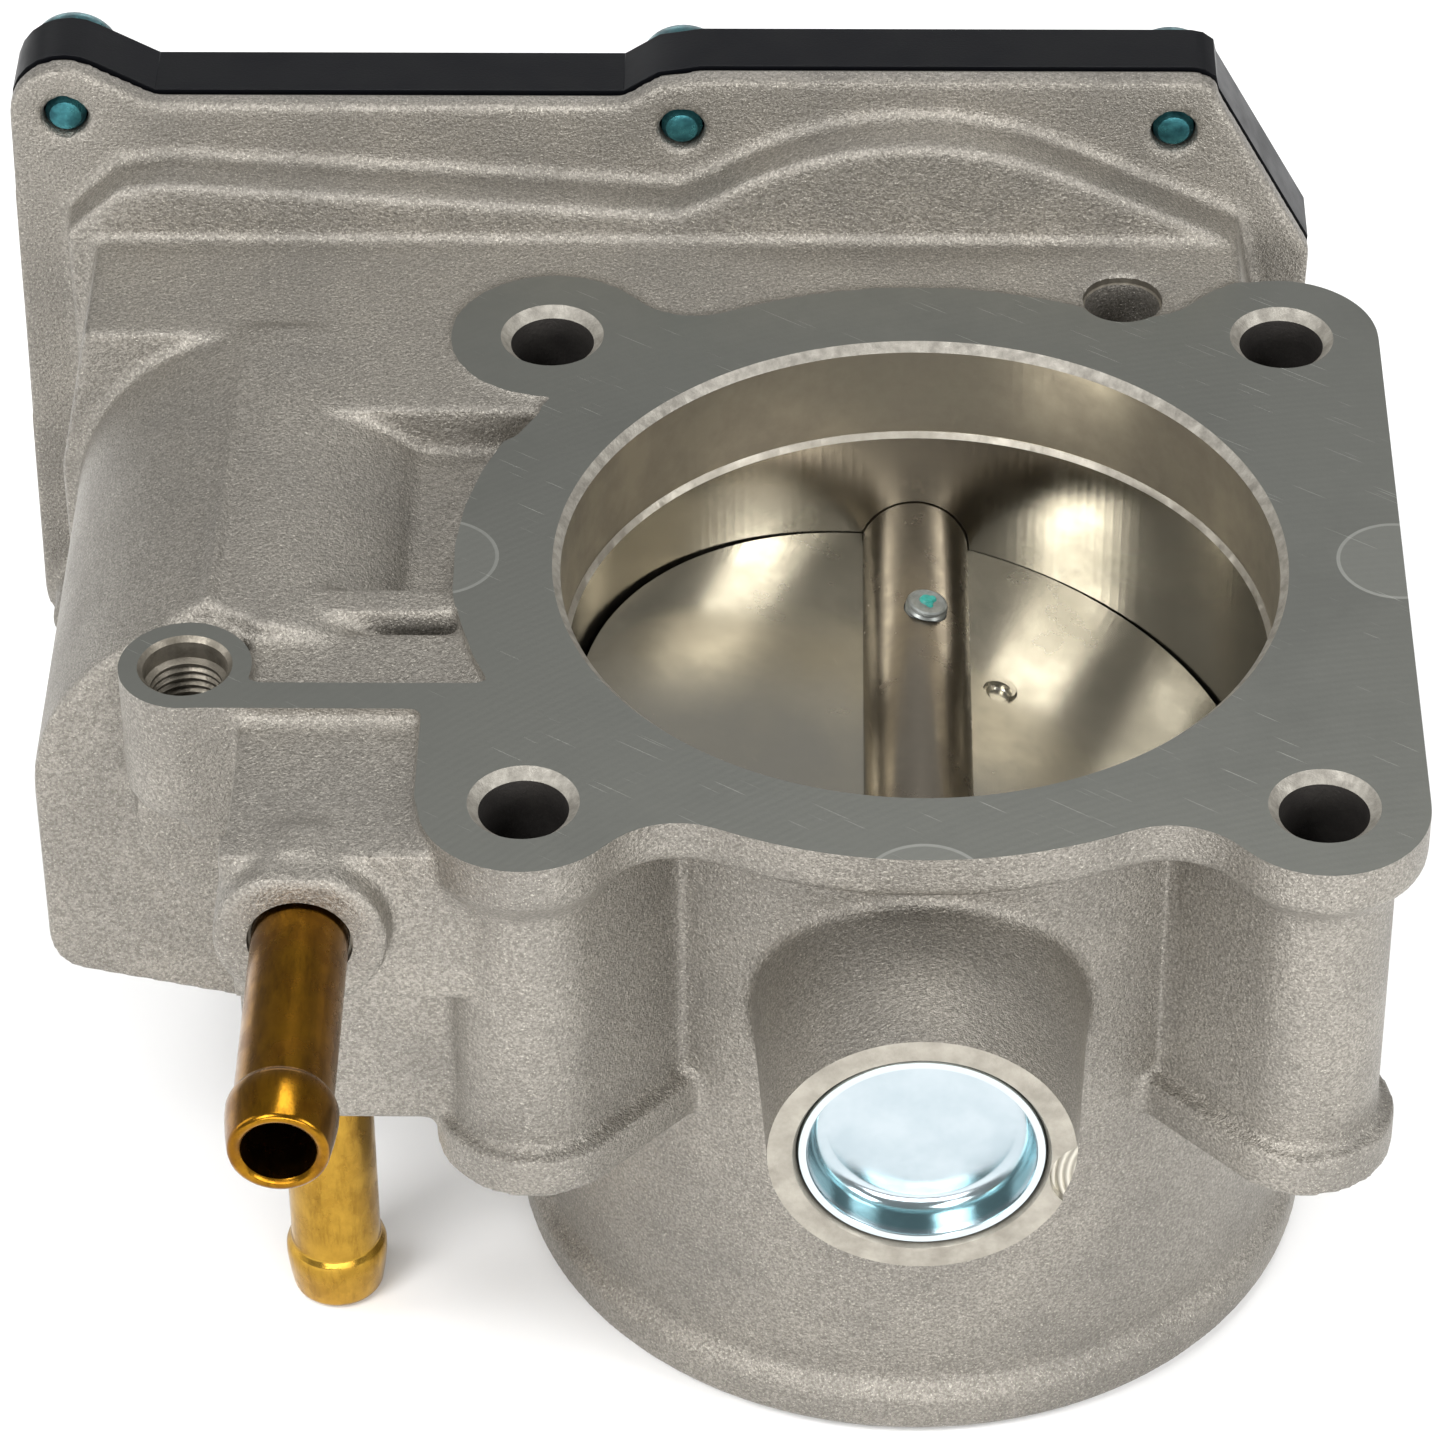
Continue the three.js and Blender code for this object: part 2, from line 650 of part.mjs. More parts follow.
// These turn with the plate, so they are modelled flat, about the shaft's own axis, and tilted together.
function throttleShaft() {
  const slot = plate.thickness / 2 + gap;
  const half = bore.radius + 0.4;
  const bar = join(
    roundY(0, 0, shaft.frontEnd, sectorBottom - gap, shaft.radius, shaft.radius, 32),
    roundY(0, 0, sectorBottom - 1, sectorTop + shaft.nutLength, shaft.stubRadius, shaft.stubRadius, 24),
  );
  const holes = [-plate.screwY, plate.screwY].flatMap((y) => [
    roundZ(0, y, -9, 9, plate.screwRadius + gap, plate.screwRadius + gap, 20),
    roundZ(0, y, -9, screwSeat, plate.screwHeadRadius + gap, plate.screwHeadRadius + gap, 24),
  ]);
  return cut(bar, block(-9, 9, -half, half, -slot, slot), ...holes);
}

const screwSeat = -shaft.radius + 1.4;

function throttlePlate() {
  const along = bore.radius - plate.edgeClearance;
  const across = along / Math.cos(radians(plate.closedAngle));
  const half = plate.thickness / 2;
  const disc = roundZ(0, 0, -half, half, 1, 1, 64).scale(across, along, 1);
  const holes = [-plate.screwY, plate.screwY].map((y) =>
    roundZ(0, y, -3, 3, plate.screwRadius + gap, plate.screwRadius + gap, 20),
  );
  return cut(disc, ...holes);
}

function plateScrew(y) {
  const { screwRadius, screwHeadRadius, screwHeadHeight } = plate;
  const head = screwSeat - gap;
  const blank = join(
    roundZ(0, y, head - 0.1, shaft.radius + 0.1, screwRadius, screwRadius, 20),
    roundZ(0, y, head - screwHeadHeight, head, screwHeadRadius - 0.5, screwHeadRadius, 24),
  );
  const half = 0.4;
  const bottom = head - screwHeadHeight;
  return cut(
    blank,
    block(-half, half, y - 1.8, y + 1.8, bottom - 1, bottom + 0.9),
    block(-1.8, 1.8, y - half, y + half, bottom - 1, bottom + 0.9),
  );
}

function shaftPlug() {
  const { face, depth, wall, corner } = plug;
  const radius = bearingPocket - gap;
  const rim = face + gap;
  const back = face + depth;
  const profile = [
    [0, back],
    [0, back - wall],
    [radius - wall - corner, back - wall],
    [radius - wall, back - wall - corner],
    [radius - wall, rim],
    [radius, rim],
    [radius, back - corner],
    [radius - corner, back],
    [0, back],
  ];
  return turnedY(0, shaft.z, profile, 36);
}

// ---------------------------------------------------------------- motor

function motorCan() {
  const { radius, canWall, noseRadius, noseLength } = motor;
  const back = motorFront + motor.length - 5;
  const nose = motorFront - noseLength;
  const profile = [
    [0, nose],
    [noseRadius, nose],
    [noseRadius, motorFront],
    [radius - 1.5, motorFront],
    [radius, motorFront + 1.5],
    [radius, back],
    [radius - canWall, back],
    [radius - canWall, motorFront + canWall],
    [noseRadius - canWall, motorFront + canWall],
    [noseRadius - canWall, nose + canWall],
    [0, nose + canWall],
  ];
  return turnedY(motorAt.x, motorAt.z, profile, 32);
}

// Half of the ring magnet inside the can, covering 130 degrees.
const magnet = { wall: 3.2, span: 130 };
function motorMagnet(middle) {
  const outer = motor.radius - motor.canWall - gap;
  const half = magnet.span / 2;
  const points = [
    ...arc(motorAt.x, motorAt.z, outer, middle - half, middle + half, 13),
    ...arc(motorAt.x, motorAt.z, outer - magnet.wall, middle + half, middle - half, 13),
  ];
  return slabY(points, motorFront + 5, motorFront + 33);
}

// The wound rotor: a stack with five poles, end windings and a commutator.
function motorRotor() {
  const { x, z } = motorAt;
  const outer = motor.radius - motor.canWall - magnet.wall - 3 * gap;
  const slots = Array.from({ length: 5 }, (_, i) => {
    const at = polar(motorAt, outer, 72 * i);
    return roundY(at.x, at.z, motorFront + 8, motorFront + 31, 2.2, 2.2, 12);
  });
  const stack = cut(roundY(x, z, motorFront + 9, motorFront + 30, outer, outer, 30), ...slots);
  return cut(
    join(
      stack,
      roundY(x, z, motorFront + 5.5, motorFront + 33.5, outer - 3.4, outer - 3.4, 28),
      roundY(x, z, motorFront + 33, motorFront + 39.5, 4.5, 4.5, 20),
    ),
    roundY(x, z, motorFront, motorFront + 45, motor.shaftRadius + gap, motor.shaftRadius + gap, 16),
  );
}

function motorEndCap() {
  const { x, z } = motorAt;
  const start = motorFront + motor.length - 4.7;
  const end = motorFront + motor.length;
  const hole = motor.shaftRadius + gap;
  return cut(
    join(
      roundY(x, z, start, end, motor.radius - 0.3, motor.radius - 0.3, 40),
      roundY(x, z, end - 1, end + 4, motor.noseRadius, motor.noseRadius, 24),
    ),
    roundY(x, z, start - 1, end + 5, hole, hole, 16),
    ...motorTabs.map((t) => block(t.x - 1.9, t.x + 1.9, start - 1, end + 1, t.z - 0.8, t.z + 0.8)),
  );
}

// Two blades carry the current from the cover down to the brushes.
const motorTabs = [150, 195].map((degrees) => polar(motorAt, motor.radius - 4.5, degrees));
const tabTop = cover.face - cover.wall - 0.6;

const retainer = { thickness: 1.4, hub: 9.5, ear: 4 };
function motorRetainer() {
  const { x, z } = motorAt;
  const start = gearCase.floor + gap;
  const end = start + retainer.thickness;
  const nose = motor.noseRadius + gap;
  const hole = motorScrewRadius + gap;
  const arms = motorScrews.map((s) => slabY(belt(x, z, retainer.hub, s.x, s.z, retainer.ear), start, end));
  return cut(
    join(...arms),
    roundY(x, z, start - 1, end + 1, nose, nose, 20),
    ...motorScrews.map((s) => roundY(s.x, s.z, start - 1, end + 1, hole, hole, 12)),
  );
}

// A screw along Y: the shank starts at the given place and the head stands on the seat.
function screwY(at, start, seat, radius, headRadius, headHeight) {
  const socket = headRadius * 0.45;
  const top = seat + headHeight;
  const profile = [
    [0, start],
    [radius - 0.3, start],
    [radius, start + 0.5],
    [radius, seat],
    [headRadius, seat],
    [headRadius, seat + headHeight * 0.5],
    [headRadius * 0.8, top],
    [0, top],
  ];
  return cut(
    turnedY(at.x, at.z, profile, 14),
    roundY(at.x, at.z, top - headHeight * 0.55, top + 1, socket, socket, 6),
  );
}

// ---------------------------------------------------------------- gears and spring

function motorPinion() {
  const { module, pinionTeeth } = stageOne;
  const outline = gearOutline(motorAt, module, pinionTeeth, motorAngle + 180, true);
  const hole = motor.shaftRadius + gap;
  return cut(
    slabY(outline, wheelBottom, wheelTop + 0.6),
    roundY(motorAt.x, motorAt.z, wheelBottom - 1, wheelTop + 2, hole, hole, 16),
  );
}

function idlerGear() {
  const { x, z } = idlerAt;
  const wheel = slabY(gearOutline(idlerAt, stageOne.module, stageOne.wheelTeeth, motorAngle), wheelBottom, wheelTop);
  const pinion = gearOutline(idlerAt, stageTwo.module, stageTwo.pinionTeeth, idlerAngle - 180, true);
  const hole = idlerPin.radius + gap;
  const pockets = Array.from({ length: 6 }, (_, i) => {
    const at = polar(idlerAt, wheelPitch * 0.66, 60 * i + 30);
    return roundY(at.x, at.z, wheelBottom - 1, wheelTop + 1, 3.4, 3.4, 10);
  });
  return cut(
    join(cut(wheel, ...pockets), slabY(pinion, wheelTop - 0.5, sectorTop + 0.4)),
    roundY(x, z, wheelBottom - 1, sectorTop + 1, hole, hole, 20),
  );
}

const sectorHub = 12;
const insertRadius = 8.4;
function sectorGear() {
  const { module, sectorTeeth } = stageTwo;
  const pitch = 360 / sectorTeeth;
  const first = Math.ceil((sectorFrom - idlerAngle) / pitch);
  const last = Math.floor((sectorTo - idlerAngle) / pitch);
  const fan = [[0, shaft.z]];
  for (let i = first; i <= last; i += 1) {
    fan.push(...toothPoints(shaftAt, module, sectorTeeth, idlerAngle + i * pitch));
  }
  const middle = (sectorFrom + sectorTo) / 2;
  const windows = [-30, 0, 30].map((turn) => {
    const at = polar(shaftAt, (sectorHub + sectorPitch) / 2 - 0.5, middle + turn);
    return roundY(at.x, at.z, sectorBottom - 1, sectorTop + 1, 4.2, 4.2, 16);
  });
  return cut(
    join(
      slabY(fan, sectorBottom, sectorTop),
      roundY(0, shaft.z, sectorBottom, sectorTop + 3.4, sectorHub, sectorHub, 36),
    ),
    ...windows,
    roundY(0, shaft.z, sectorBottom - 1, sectorTop + 5, insertRadius + gap, insertRadius + gap, 28),
  );
}

function shaftNut() {
  const hole = shaft.stubRadius + gap;
  return cut(
    roundY(0, shaft.z, sectorTop + gap, sectorTop + 3.2, 7.2, 7.2, 6),
    roundY(0, shaft.z, sectorTop, sectorTop + 4, hole, hole, 20),
  );
}

// A torsion spring round the rear bearing boss, with a leg at each end that points outwards.
const spring = { radius: 14.2, wire: 0.8, turns: 4.25, start: gearCase.floor + 1.5, end: sectorBottom - 1.8, leg: 4 };
class Coil extends THREE.Curve {
  getPoint(t, target = new THREE.Vector3()) {
    const angle = 2 * Math.PI * spring.turns * t;
    const ends = Math.max(0, 1 - t / 0.04) + Math.max(0, (t - 0.96) / 0.04);
    const radius = spring.radius + spring.leg * ends * ends;
    const y = spring.start + (spring.end - spring.start) * t;
    return target.set(radius * Math.cos(angle), y, shaft.z + radius * Math.sin(angle));
  }
}

function returnSpring() {
  const section = new THREE.Shape(arc(0, 0, spring.wire, 0, 288, 72).map(([x, y]) => new THREE.Vector2(x, y)));
  return new THREE.ExtrudeGeometry(section, { steps: 68, bevelEnabled: false, extrudePath: new Coil() });
}

// ---------------------------------------------------------------- pipes

// A push-fit pipe along +Y from its open, beaded end, which is at zero.
function hosePipe(length) {
  const { radius, bore: inner, beadRadius, beadLength } = pipe;
  const profile = [
    [inner, 0.4],
    [inner + 0.4, 0],
    [radius - 0.3, 0],
    [radius + 0.1, 0.6],
    [beadRadius, beadLength * 0.55],
    [beadRadius, beadLength * 0.85],
    [radius + 0.1, beadLength],
    [radius, beadLength + 0.3],
    [radius, length - 0.5],
    [radius - 0.5, length],
    [inner, length],
    [inner, 0.4],
  ];
  return turnedY(0, 0, profile, 20);
}

// ---------------------------------------------------------------- cover and electrics

const coverStart = gearCase.joint + gap;

// The raised panel over the gears, and the same outline inside its wall.
function coverPanelOutline(wall = 0) {
  return belt(motorAt.x, motorAt.z, 15 - wall, 0, shaft.z, 25 - wall);
}

function gearCover() {
  const { face, wall, panelHeight } = cover;
  const inside = face - wall;
  const { width, depth, top, bottom, x, wall: shroud } = connector;
  const left = x - width / 2;
  const right = x + width / 2;
  const back = face + depth;
  const tabHoles = motorTabs.map((t) => block(t.x - 2, t.x + 2, inside - 2, inside + 1.2, t.z - 1, t.z + 1));
  const shell = join(
    slabY(rimOutline(), coverStart, face),
    slabY(coverPanelOutline(), face - 1, face + panelHeight),
    block(left, right, face - 1, back, bottom, top),
  );
  const pinHoles = connectorPins().map((p) =>
    block(p.x - pinSlot.x, p.x + pinSlot.x, p.y - pinSlot.y, p.y + pinSlot.y, socketRoot - 1, pinRoot + gap),
  );
  return cut(
    shell,
    slabY(wideOutline(), coverStart - 1, inside),
    slabY(coverPanelOutline(wall), inside - 1, face + panelHeight - wall),
    block(left + shroud, right - shroud, face + panelHeight + 0.8, back - shroud, bottom - 1, socketRoot),
    ...pinHoles,
    ...tabHoles,
    ...coverScrews.map((s) => roundY(s.x, s.z, coverStart - 1, face + 1, coverScrew.radius + gap, coverScrew.radius + gap, 14)),
  );
}

const socketRoot = connector.top - 8;
const pinRoot = connector.top - 3;
const pinSlot = { x: pins.width / 2 + gap, y: pins.thickness / 2 + gap };

function connectorPins() {
  const middle = (cover.face + cover.panelHeight + 0.8 + cover.face + connector.depth - connector.wall) / 2;
  const places = [];
  for (let row = 0; row < pins.rows; row += 1) {
    for (let column = 0; column < pins.columns; column += 1) {
      places.push({
        x: connector.x + (column - (pins.columns - 1) / 2) * pins.pitch,
        y: middle + (row - (pins.rows - 1) / 2) * pins.rowPitch,
      });
    }
  }
  return places;
}

function coverGasket() {
  const { inset, width, depth } = gasket;
  const start = gearCase.joint - depth + gap;
  const end = gearCase.joint;
  return cut(
    slabY(grow(wideOutline(), inset + width - gap), start, end),
    slabY(grow(wideOutline(), inset + gap), start - 1, end + 1),
  );
}

// ---------------------------------------------------------------- the assembly

const finishes = {
  castAluminium: { color: 0x9c9890, roughness: 0.55, metalness: 0.8 },
  steel: { color: 0xb8b4aa, roughness: 0.3, metalness: 1 },
  plateBrass: { color: 0xb5aa90, roughness: 0.3, metalness: 1 },
  zincPlate: { color: 0xb9cdd6, roughness: 0.25, metalness: 1 },
  tealZinc: { color: 0x3f7378, roughness: 0.35, metalness: 0.8 },
  brass: { color: 0xb08a3a, roughness: 0.3, metalness: 1 },
  blackPlastic: { color: 0x14151a, roughness: 0.5, metalness: 0 },
  gearPlastic: { color: 0xd9d2bd, roughness: 0.5, metalness: 0 },
  rubber: { color: 0x1c1c1c, roughness: 0.8, metalness: 0 },
  bearingSteel: { color: 0xa9abad, roughness: 0.2, metalness: 1 },
  canSteel: { color: 0x8d9094, roughness: 0.35, metalness: 1 },
  magnetFerrite: { color: 0x3a3a3c, roughness: 0.7, metalness: 0.2 },
  windings: { color: 0x8a4b24, roughness: 0.4, metalness: 0.6 },
  springSteel: { color: 0x6f7276, roughness: 0.35, metalness: 1 },
  circuitBoard: { color: 0x1f5a35, roughness: 0.5, metalness: 0 },
  tinPlate: { color: 0xc9c9c4, roughness: 0.25, metalness: 1 },
};

const object = new THREE.Group();

function add(name, finish, shape, parent = object) {
  const mesh = new THREE.Mesh(asGeometry(shape), new THREE.MeshStandardMaterial(finishes[finish]));
  mesh.name = name;
  parent.add(mesh);
  return mesh;
}

add("housing", "castAluminium", housing());

const tilting = new THREE.Group();
tilting.position.z = shaft.z;
tilting.rotation.y = radians(plate.restAngle);
object.add(tilting);
add("throttle_shaft", "steel", throttleShaft(), tilting);
add("throttle_plate", "plateBrass", throttlePlate(), tilting);
add("plate_screw_front", "tealZinc", plateScrew(-plate.screwY), tilting);
add("plate_screw_rear", "tealZinc", plateScrew(plate.screwY), tilting);

add("shaft_cup_plug", "zincPlate", shaftPlug());
const innerRing = shaft.radius + gap;
const ringSides = 32;
add(
  "front_bearing_inner_ring",
  "bearingSteel",
  ringY(shaftAt, bearingFront, bearingBack, innerRing, innerRing + bearing.ringWall, ringSides),
);
add(
  "front_bearing_outer_ring",
  "bearingSteel",
  ringY(shaftAt, bearingFront, bearingBack, bearing.outerRadius - bearing.ringWall, bearing.outerRadius, ringSides),
);
const shieldInner = innerRing + bearing.ringWall + gap;
const shieldOuter = bearing.outerRadius - bearing.ringWall - gap;
add("front_bearing_shield", "rubber", ringY(shaftAt, bearingFront + gap, bearingFront + 1, shieldInner, shieldOuter));
add("front_shaft_seal", "rubber", ringY(shaftAt, sealFront, sealFront + seal.width, innerRing, seal.outerRadius));
const rearEnd = rearBearing.start + rearBearing.width;
add("rear_shaft_bearing", "bearingSteel", ringY(shaftAt, rearBearing.start, rearEnd, innerRing, rearBearing.outerRadius));
add("rear_shaft_seal", "rubber", ringY(shaftAt, rearEnd + 2 * gap, rearEnd + seal.width, innerRing, seal.outerRadius));

add("sector_gear", "gearPlastic", sectorGear());
add(
  "sector_gear_insert",
  "steel",
  ringY(shaftAt, sectorBottom + gap, sectorTop, shaft.stubRadius + gap, insertRadius, 28),
);
add("shaft_nut", "tealZinc", shaftNut());
add("sensor_magnet", "magnetFerrite", ringY(shaftAt, sectorTop + 3.7, sectorTop + 4.7, 8.8, 11.6, 32));
add("return_spring", "springSteel", returnSpring());
add("spring_bush", "gearPlastic", ringY(shaftAt, gearCase.floor + gap, spring.end + 0.4, rearBoss.radius + gap, spring.radius - 1.4));

add("idler_pin", "steel", roundY(idlerAt.x, idlerAt.z, idlerPin.start, idlerPin.end, idlerPin.radius, idlerPin.radius, 20));
add("idler_gear", "gearPlastic", idlerGear());
add("motor_pinion", "brass", motorPinion());

add("motor_can", "canSteel", motorCan());
add("motor_magnet_upper", "magnetFerrite", motorMagnet(90));
add("motor_magnet_lower", "magnetFerrite", motorMagnet(270));
add("motor_rotor", "windings", motorRotor());
add(
  "motor_shaft",
  "steel",
  roundY(motorAt.x, motorAt.z, motorFront + 1.8, wheelTop + 1.2, motor.shaftRadius, motor.shaftRadius, 16),
);
add("motor_end_cap", "blackPlastic", motorEndCap());
add("motor_retainer", "canSteel", motorRetainer());
const retainerTop = gearCase.floor + 2 * gap + retainer.thickness;
motorScrews.forEach((at, i) => {
  add("motor_screw_" + (i + 1), "tealZinc", screwY(at, motorScrewStart, retainerTop, motorScrewRadius, 2.8, 1.8));
});
motorTabs.forEach((t, i) => {
  const blade = block(t.x - 1.6, t.x + 1.6, motorFront + motor.length - 4, tabTop, t.z - 0.5, t.z + 0.5);
  add("motor_terminal_" + (i + 1), "tinPlate", blade);
});

const frontLength = frontPipe.face + pipe.seat - gap - frontPipe.end;
const front = add("front_coolant_pipe", "brass", hosePipe(frontLength));
front.position.set(frontPipe.x, frontPipe.end, frontPipe.z);
const lowerLength = lowerPipe.face + pipe.seat - gap - lowerPipe.end;
const lower = add("lower_coolant_pipe", "brass", hosePipe(lowerLength));
lower.rotation.x = Math.PI / 2;
lower.position.set(lowerPipe.x, lowerPipe.y, lowerPipe.end);

add("gear_cover", "blackPlastic", gearCover());
add("cover_gasket", "rubber", coverGasket());
coverScrews.forEach((s) => {
  const { radius, headRadius, headHeight } = coverScrew;
  add("cover_screw_" + s.name, "tealZinc", screwY(s, gearCase.rimFace - 0.5, cover.face + gap, radius, headRadius, headHeight));
});
add(
  "sensor_board",
  "circuitBoard",
  roundY(0, shaft.z, sectorTop + 5, sectorTop + 6.4, 16, 16, 36),
);
connectorPins().forEach((p, i) => {
  const blade = block(p.x - pins.width / 2, p.x + pins.width / 2, p.y - pins.thickness / 2, p.y + pins.thickness / 2, pins.tip, pinRoot);
  add("connector_pin_" + (i + 1), "tinPlate", blade);
});

export default object;
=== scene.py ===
# %% [markdown]
# # An electronic throttle body
# The frame holds every piece at its true size and place. This lesson gives each one the surface
# that its way of making leaves: sand-fine castings, milled faces, spun tubes and plated screws.
# The frame's solids are never changed. Each finished piece is new, and takes one solid's place.

import json
import math

import bpy
from mathutils import Matrix, Vector

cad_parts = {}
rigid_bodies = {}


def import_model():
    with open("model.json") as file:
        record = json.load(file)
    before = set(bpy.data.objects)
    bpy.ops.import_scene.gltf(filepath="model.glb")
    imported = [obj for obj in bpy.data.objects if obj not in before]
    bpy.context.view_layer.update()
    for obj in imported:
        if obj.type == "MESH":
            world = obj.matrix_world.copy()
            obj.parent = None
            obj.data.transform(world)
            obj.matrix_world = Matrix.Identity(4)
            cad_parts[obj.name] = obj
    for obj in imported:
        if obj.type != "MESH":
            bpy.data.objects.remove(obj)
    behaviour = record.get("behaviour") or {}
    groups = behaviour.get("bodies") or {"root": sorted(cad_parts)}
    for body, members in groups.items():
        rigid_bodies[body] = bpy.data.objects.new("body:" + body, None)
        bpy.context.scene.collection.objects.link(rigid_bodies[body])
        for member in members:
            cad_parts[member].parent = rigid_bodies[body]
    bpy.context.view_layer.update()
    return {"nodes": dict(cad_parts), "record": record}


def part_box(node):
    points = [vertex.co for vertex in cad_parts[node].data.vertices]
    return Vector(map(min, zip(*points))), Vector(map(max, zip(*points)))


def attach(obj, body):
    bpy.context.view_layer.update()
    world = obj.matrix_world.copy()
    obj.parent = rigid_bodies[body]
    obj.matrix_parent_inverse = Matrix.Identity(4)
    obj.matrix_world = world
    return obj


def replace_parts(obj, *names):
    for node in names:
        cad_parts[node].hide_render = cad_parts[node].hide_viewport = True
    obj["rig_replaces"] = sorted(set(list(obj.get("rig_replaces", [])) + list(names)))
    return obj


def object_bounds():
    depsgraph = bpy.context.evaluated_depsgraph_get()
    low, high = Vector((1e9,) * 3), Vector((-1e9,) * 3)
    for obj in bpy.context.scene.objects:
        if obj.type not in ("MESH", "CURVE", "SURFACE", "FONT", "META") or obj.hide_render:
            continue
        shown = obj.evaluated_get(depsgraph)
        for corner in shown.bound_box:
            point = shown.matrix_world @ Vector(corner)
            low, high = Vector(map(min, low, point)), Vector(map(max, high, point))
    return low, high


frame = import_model()
MM = 0.001

# %% [markdown]
# The sizes below are in millimetres, in the frame's own axes. Z is the bore's axis and Y is the
# shaft's. The flange's milled face is at height zero. They could be typed where they are used, but
# a hole, its cutter and its plug stay true to each other when they read the same value.

# %% Sizes
SHAFT = {"x": 0.0, "z": -23.9, "radius": 5.3}
MOTOR = {"x": -61.256, "z": -20.444, "radius": 20.7, "bore": 18.3, "end": -10.2, "boss": 11.0}
BORE = {"radius": 32.5, "mouth": 33.0, "step": -10.2, "end": -75.0, "outer": 37.6}
BOLT_HOLE = 4.0
COLUMN = {"left": 7.4, "right": 6.7, "pad": 9.3, "foot": -39.6}
TAP = {"radius": 3.6, "pitch": 0.8}
BOLTS = [(-35.0, -34.5), (35.0, -34.5), (35.0, 34.5), (-35.0, 34.5)]
BRACKET = {"x": -66.2, "y": -15.85, "radius": 6.05, "bottom": -12.5}
PLUG = {"face": -53.9, "radius": 11.0, "boss": 13.6, "root": 15.9}
FRONT_PIPE = {"x": -54.4, "z": -8.6, "face": -43.5, "end": -70.0, "seat": -34.5}
LOWER_PIPE = {"x": -55.7, "y": -18.0, "face": -44.0, "end": -75.0, "seat": -35.0}
STOP = {"x": 4.245, "z": 3.776}
PIPE_RADIUS = 4.3
PIPE_BORE = 3.25
PIPE_BOSS = 7.7
BLOCK = {"front": -40.2, "top": -1.5}
REST_TILT = math.radians(11)
print("bore of", 2 * BORE["radius"], "mm")

# %% [markdown]
# Nearly everything on this object was turned, bored or milled, so bars, boxes and turned profiles
# are enough to build it. Points could be typed one by one instead, but a bar with a radius reads
# like the drawing of a part. These tools make the bars and boxes.

# %% Bars and boxes


def only(piece):
    bpy.ops.object.select_all(action="DESELECT")
    piece.hide_viewport = False
    piece.select_set(True)
    bpy.context.view_layer.objects.active = piece
    return piece


def bake(piece, name):
    piece.name = name
    only(piece)
    bpy.ops.object.transform_apply(location=True, rotation=True, scale=True)
    return piece


def bar(start, end, radius, end_radius=None, sides=128, name="bar"):
    """A round bar or cone between two points."""
    first = Vector(start) * MM
    last = Vector(end) * MM
    along = last - first
    bpy.ops.mesh.primitive_cone_add(
        vertices=sides,
        radius1=radius * MM,
        radius2=(radius if end_radius is None else end_radius) * MM,
        depth=along.length,
        location=(first + last) / 2,
        rotation=along.to_track_quat("Z", "Y").to_euler(),
    )
    return bake(bpy.context.object, name)


def bar_y(x, z, start, end, radius, end_radius=None, sides=128):
    return bar((x, start, z), (x, end, z), radius, end_radius, sides)


def bar_z(x, y, start, end, radius, end_radius=None, sides=128):
    return bar((x, y, start), (x, y, end), radius, end_radius, sides)


def block(x, y, z, name="block"):
    """A box, given its two ends along each axis."""
    spans = (x, y, z)
    centre = [(a + b) / 2 * MM for a, b in spans]
    bpy.ops.mesh.primitive_cube_add(size=1, location=centre)
    piece = bpy.context.object
    piece.scale = [(b - a) * MM for a, b in spans]
    return bake(piece, name)


print("bars and boxes ready")

# %% [markdown]
# Modifiers do the cutting and joining, as mills and drills do on the real part. Each one is applied
# at once, so the next step works on a plain mesh. The Manifold solver is quick and exact on closed
# solids, and it can hand a tool's material on to the surface that the tool leaves.

# %% Cutting and joining


def modify(piece, kind, **settings):
    only(piece)
    modifier = piece.modifiers.new(kind.lower(), kind)
    for key, value in settings.items():
        setattr(modifier, key, value)
    bpy.ops.object.modifier_apply(modifier=modifier.name)
    return piece


def unite(pieces, name=None):
    base = pieces[0]
    for other in pieces[1:]:
        modify(
            base,
            "BOOLEAN",
            operation="UNION",
            object=other,
            solver="MANIFOLD",
            material_mode="TRANSFER",
        )
        bpy.data.objects.remove(other)
    base.name = name or base.name
    return base


def carve(target, tools):
    tool = unite(tools)
    modify(target, "BOOLEAN", operation="DIFFERENCE", object=tool, solver="MANIFOLD")
    bpy.data.objects.remove(tool)
    return target


print("cutting and joining ready")

# %% [markdown]
# A lathe makes a piece by turning a profile round a line, and so does the next tool. A stack of
# cylinders could give the same steps, but a profile can hold slopes, beads and grooves as well.

# %% Turning


def turned(profile, x=0.0, y=0.0, z=0.0, axis="Z", steps=128, name="turned"):
    """A piece turned round a line along Z or Y. The profile lists radius and place along it."""
    mesh = bpy.data.meshes.new(name)
    up = axis == "Z"
    points = [(r * MM, 0, h * MM) if up else (r * MM, h * MM, 0) for r, h in profile]
    edges = [(i, i + 1) for i in range(len(points) - 1)]
    if profile[0][0] > 0:
        edges.append((len(points) - 1, 0))
    mesh.from_pydata(points, edges, [])
    piece = bpy.data.objects.new(name, mesh)
    bpy.context.collection.objects.link(piece)
    only(piece)
    bpy.ops.object.mode_set(mode="EDIT")
    bpy.ops.mesh.select_all(action="SELECT")
    line = (0, 0, 1) if up else (0, 1, 0)
    bpy.ops.mesh.spin(steps=steps, angle=2 * math.pi, center=(0, 0, 0), axis=line)
    bpy.ops.mesh.select_all(action="SELECT")
    bpy.ops.mesh.remove_doubles(threshold=0.001 * MM)
    bpy.ops.mesh.normals_make_consistent(inside=False)
    bpy.ops.object.mode_set(mode="OBJECT")
    piece.location = (x * MM, y * MM, z * MM)
    return bake(piece, name)


print("turning ready")

# %% [markdown]
# Where the frame already has a piece's shape, the piece starts as a copy of its solid. The last
# tool here is used on every piece: it gives the piece its surface, steadies its shading on flat
# faces, ties it to the body that it moves with, and names the solid that it stands for.

# %% Copying and finishing


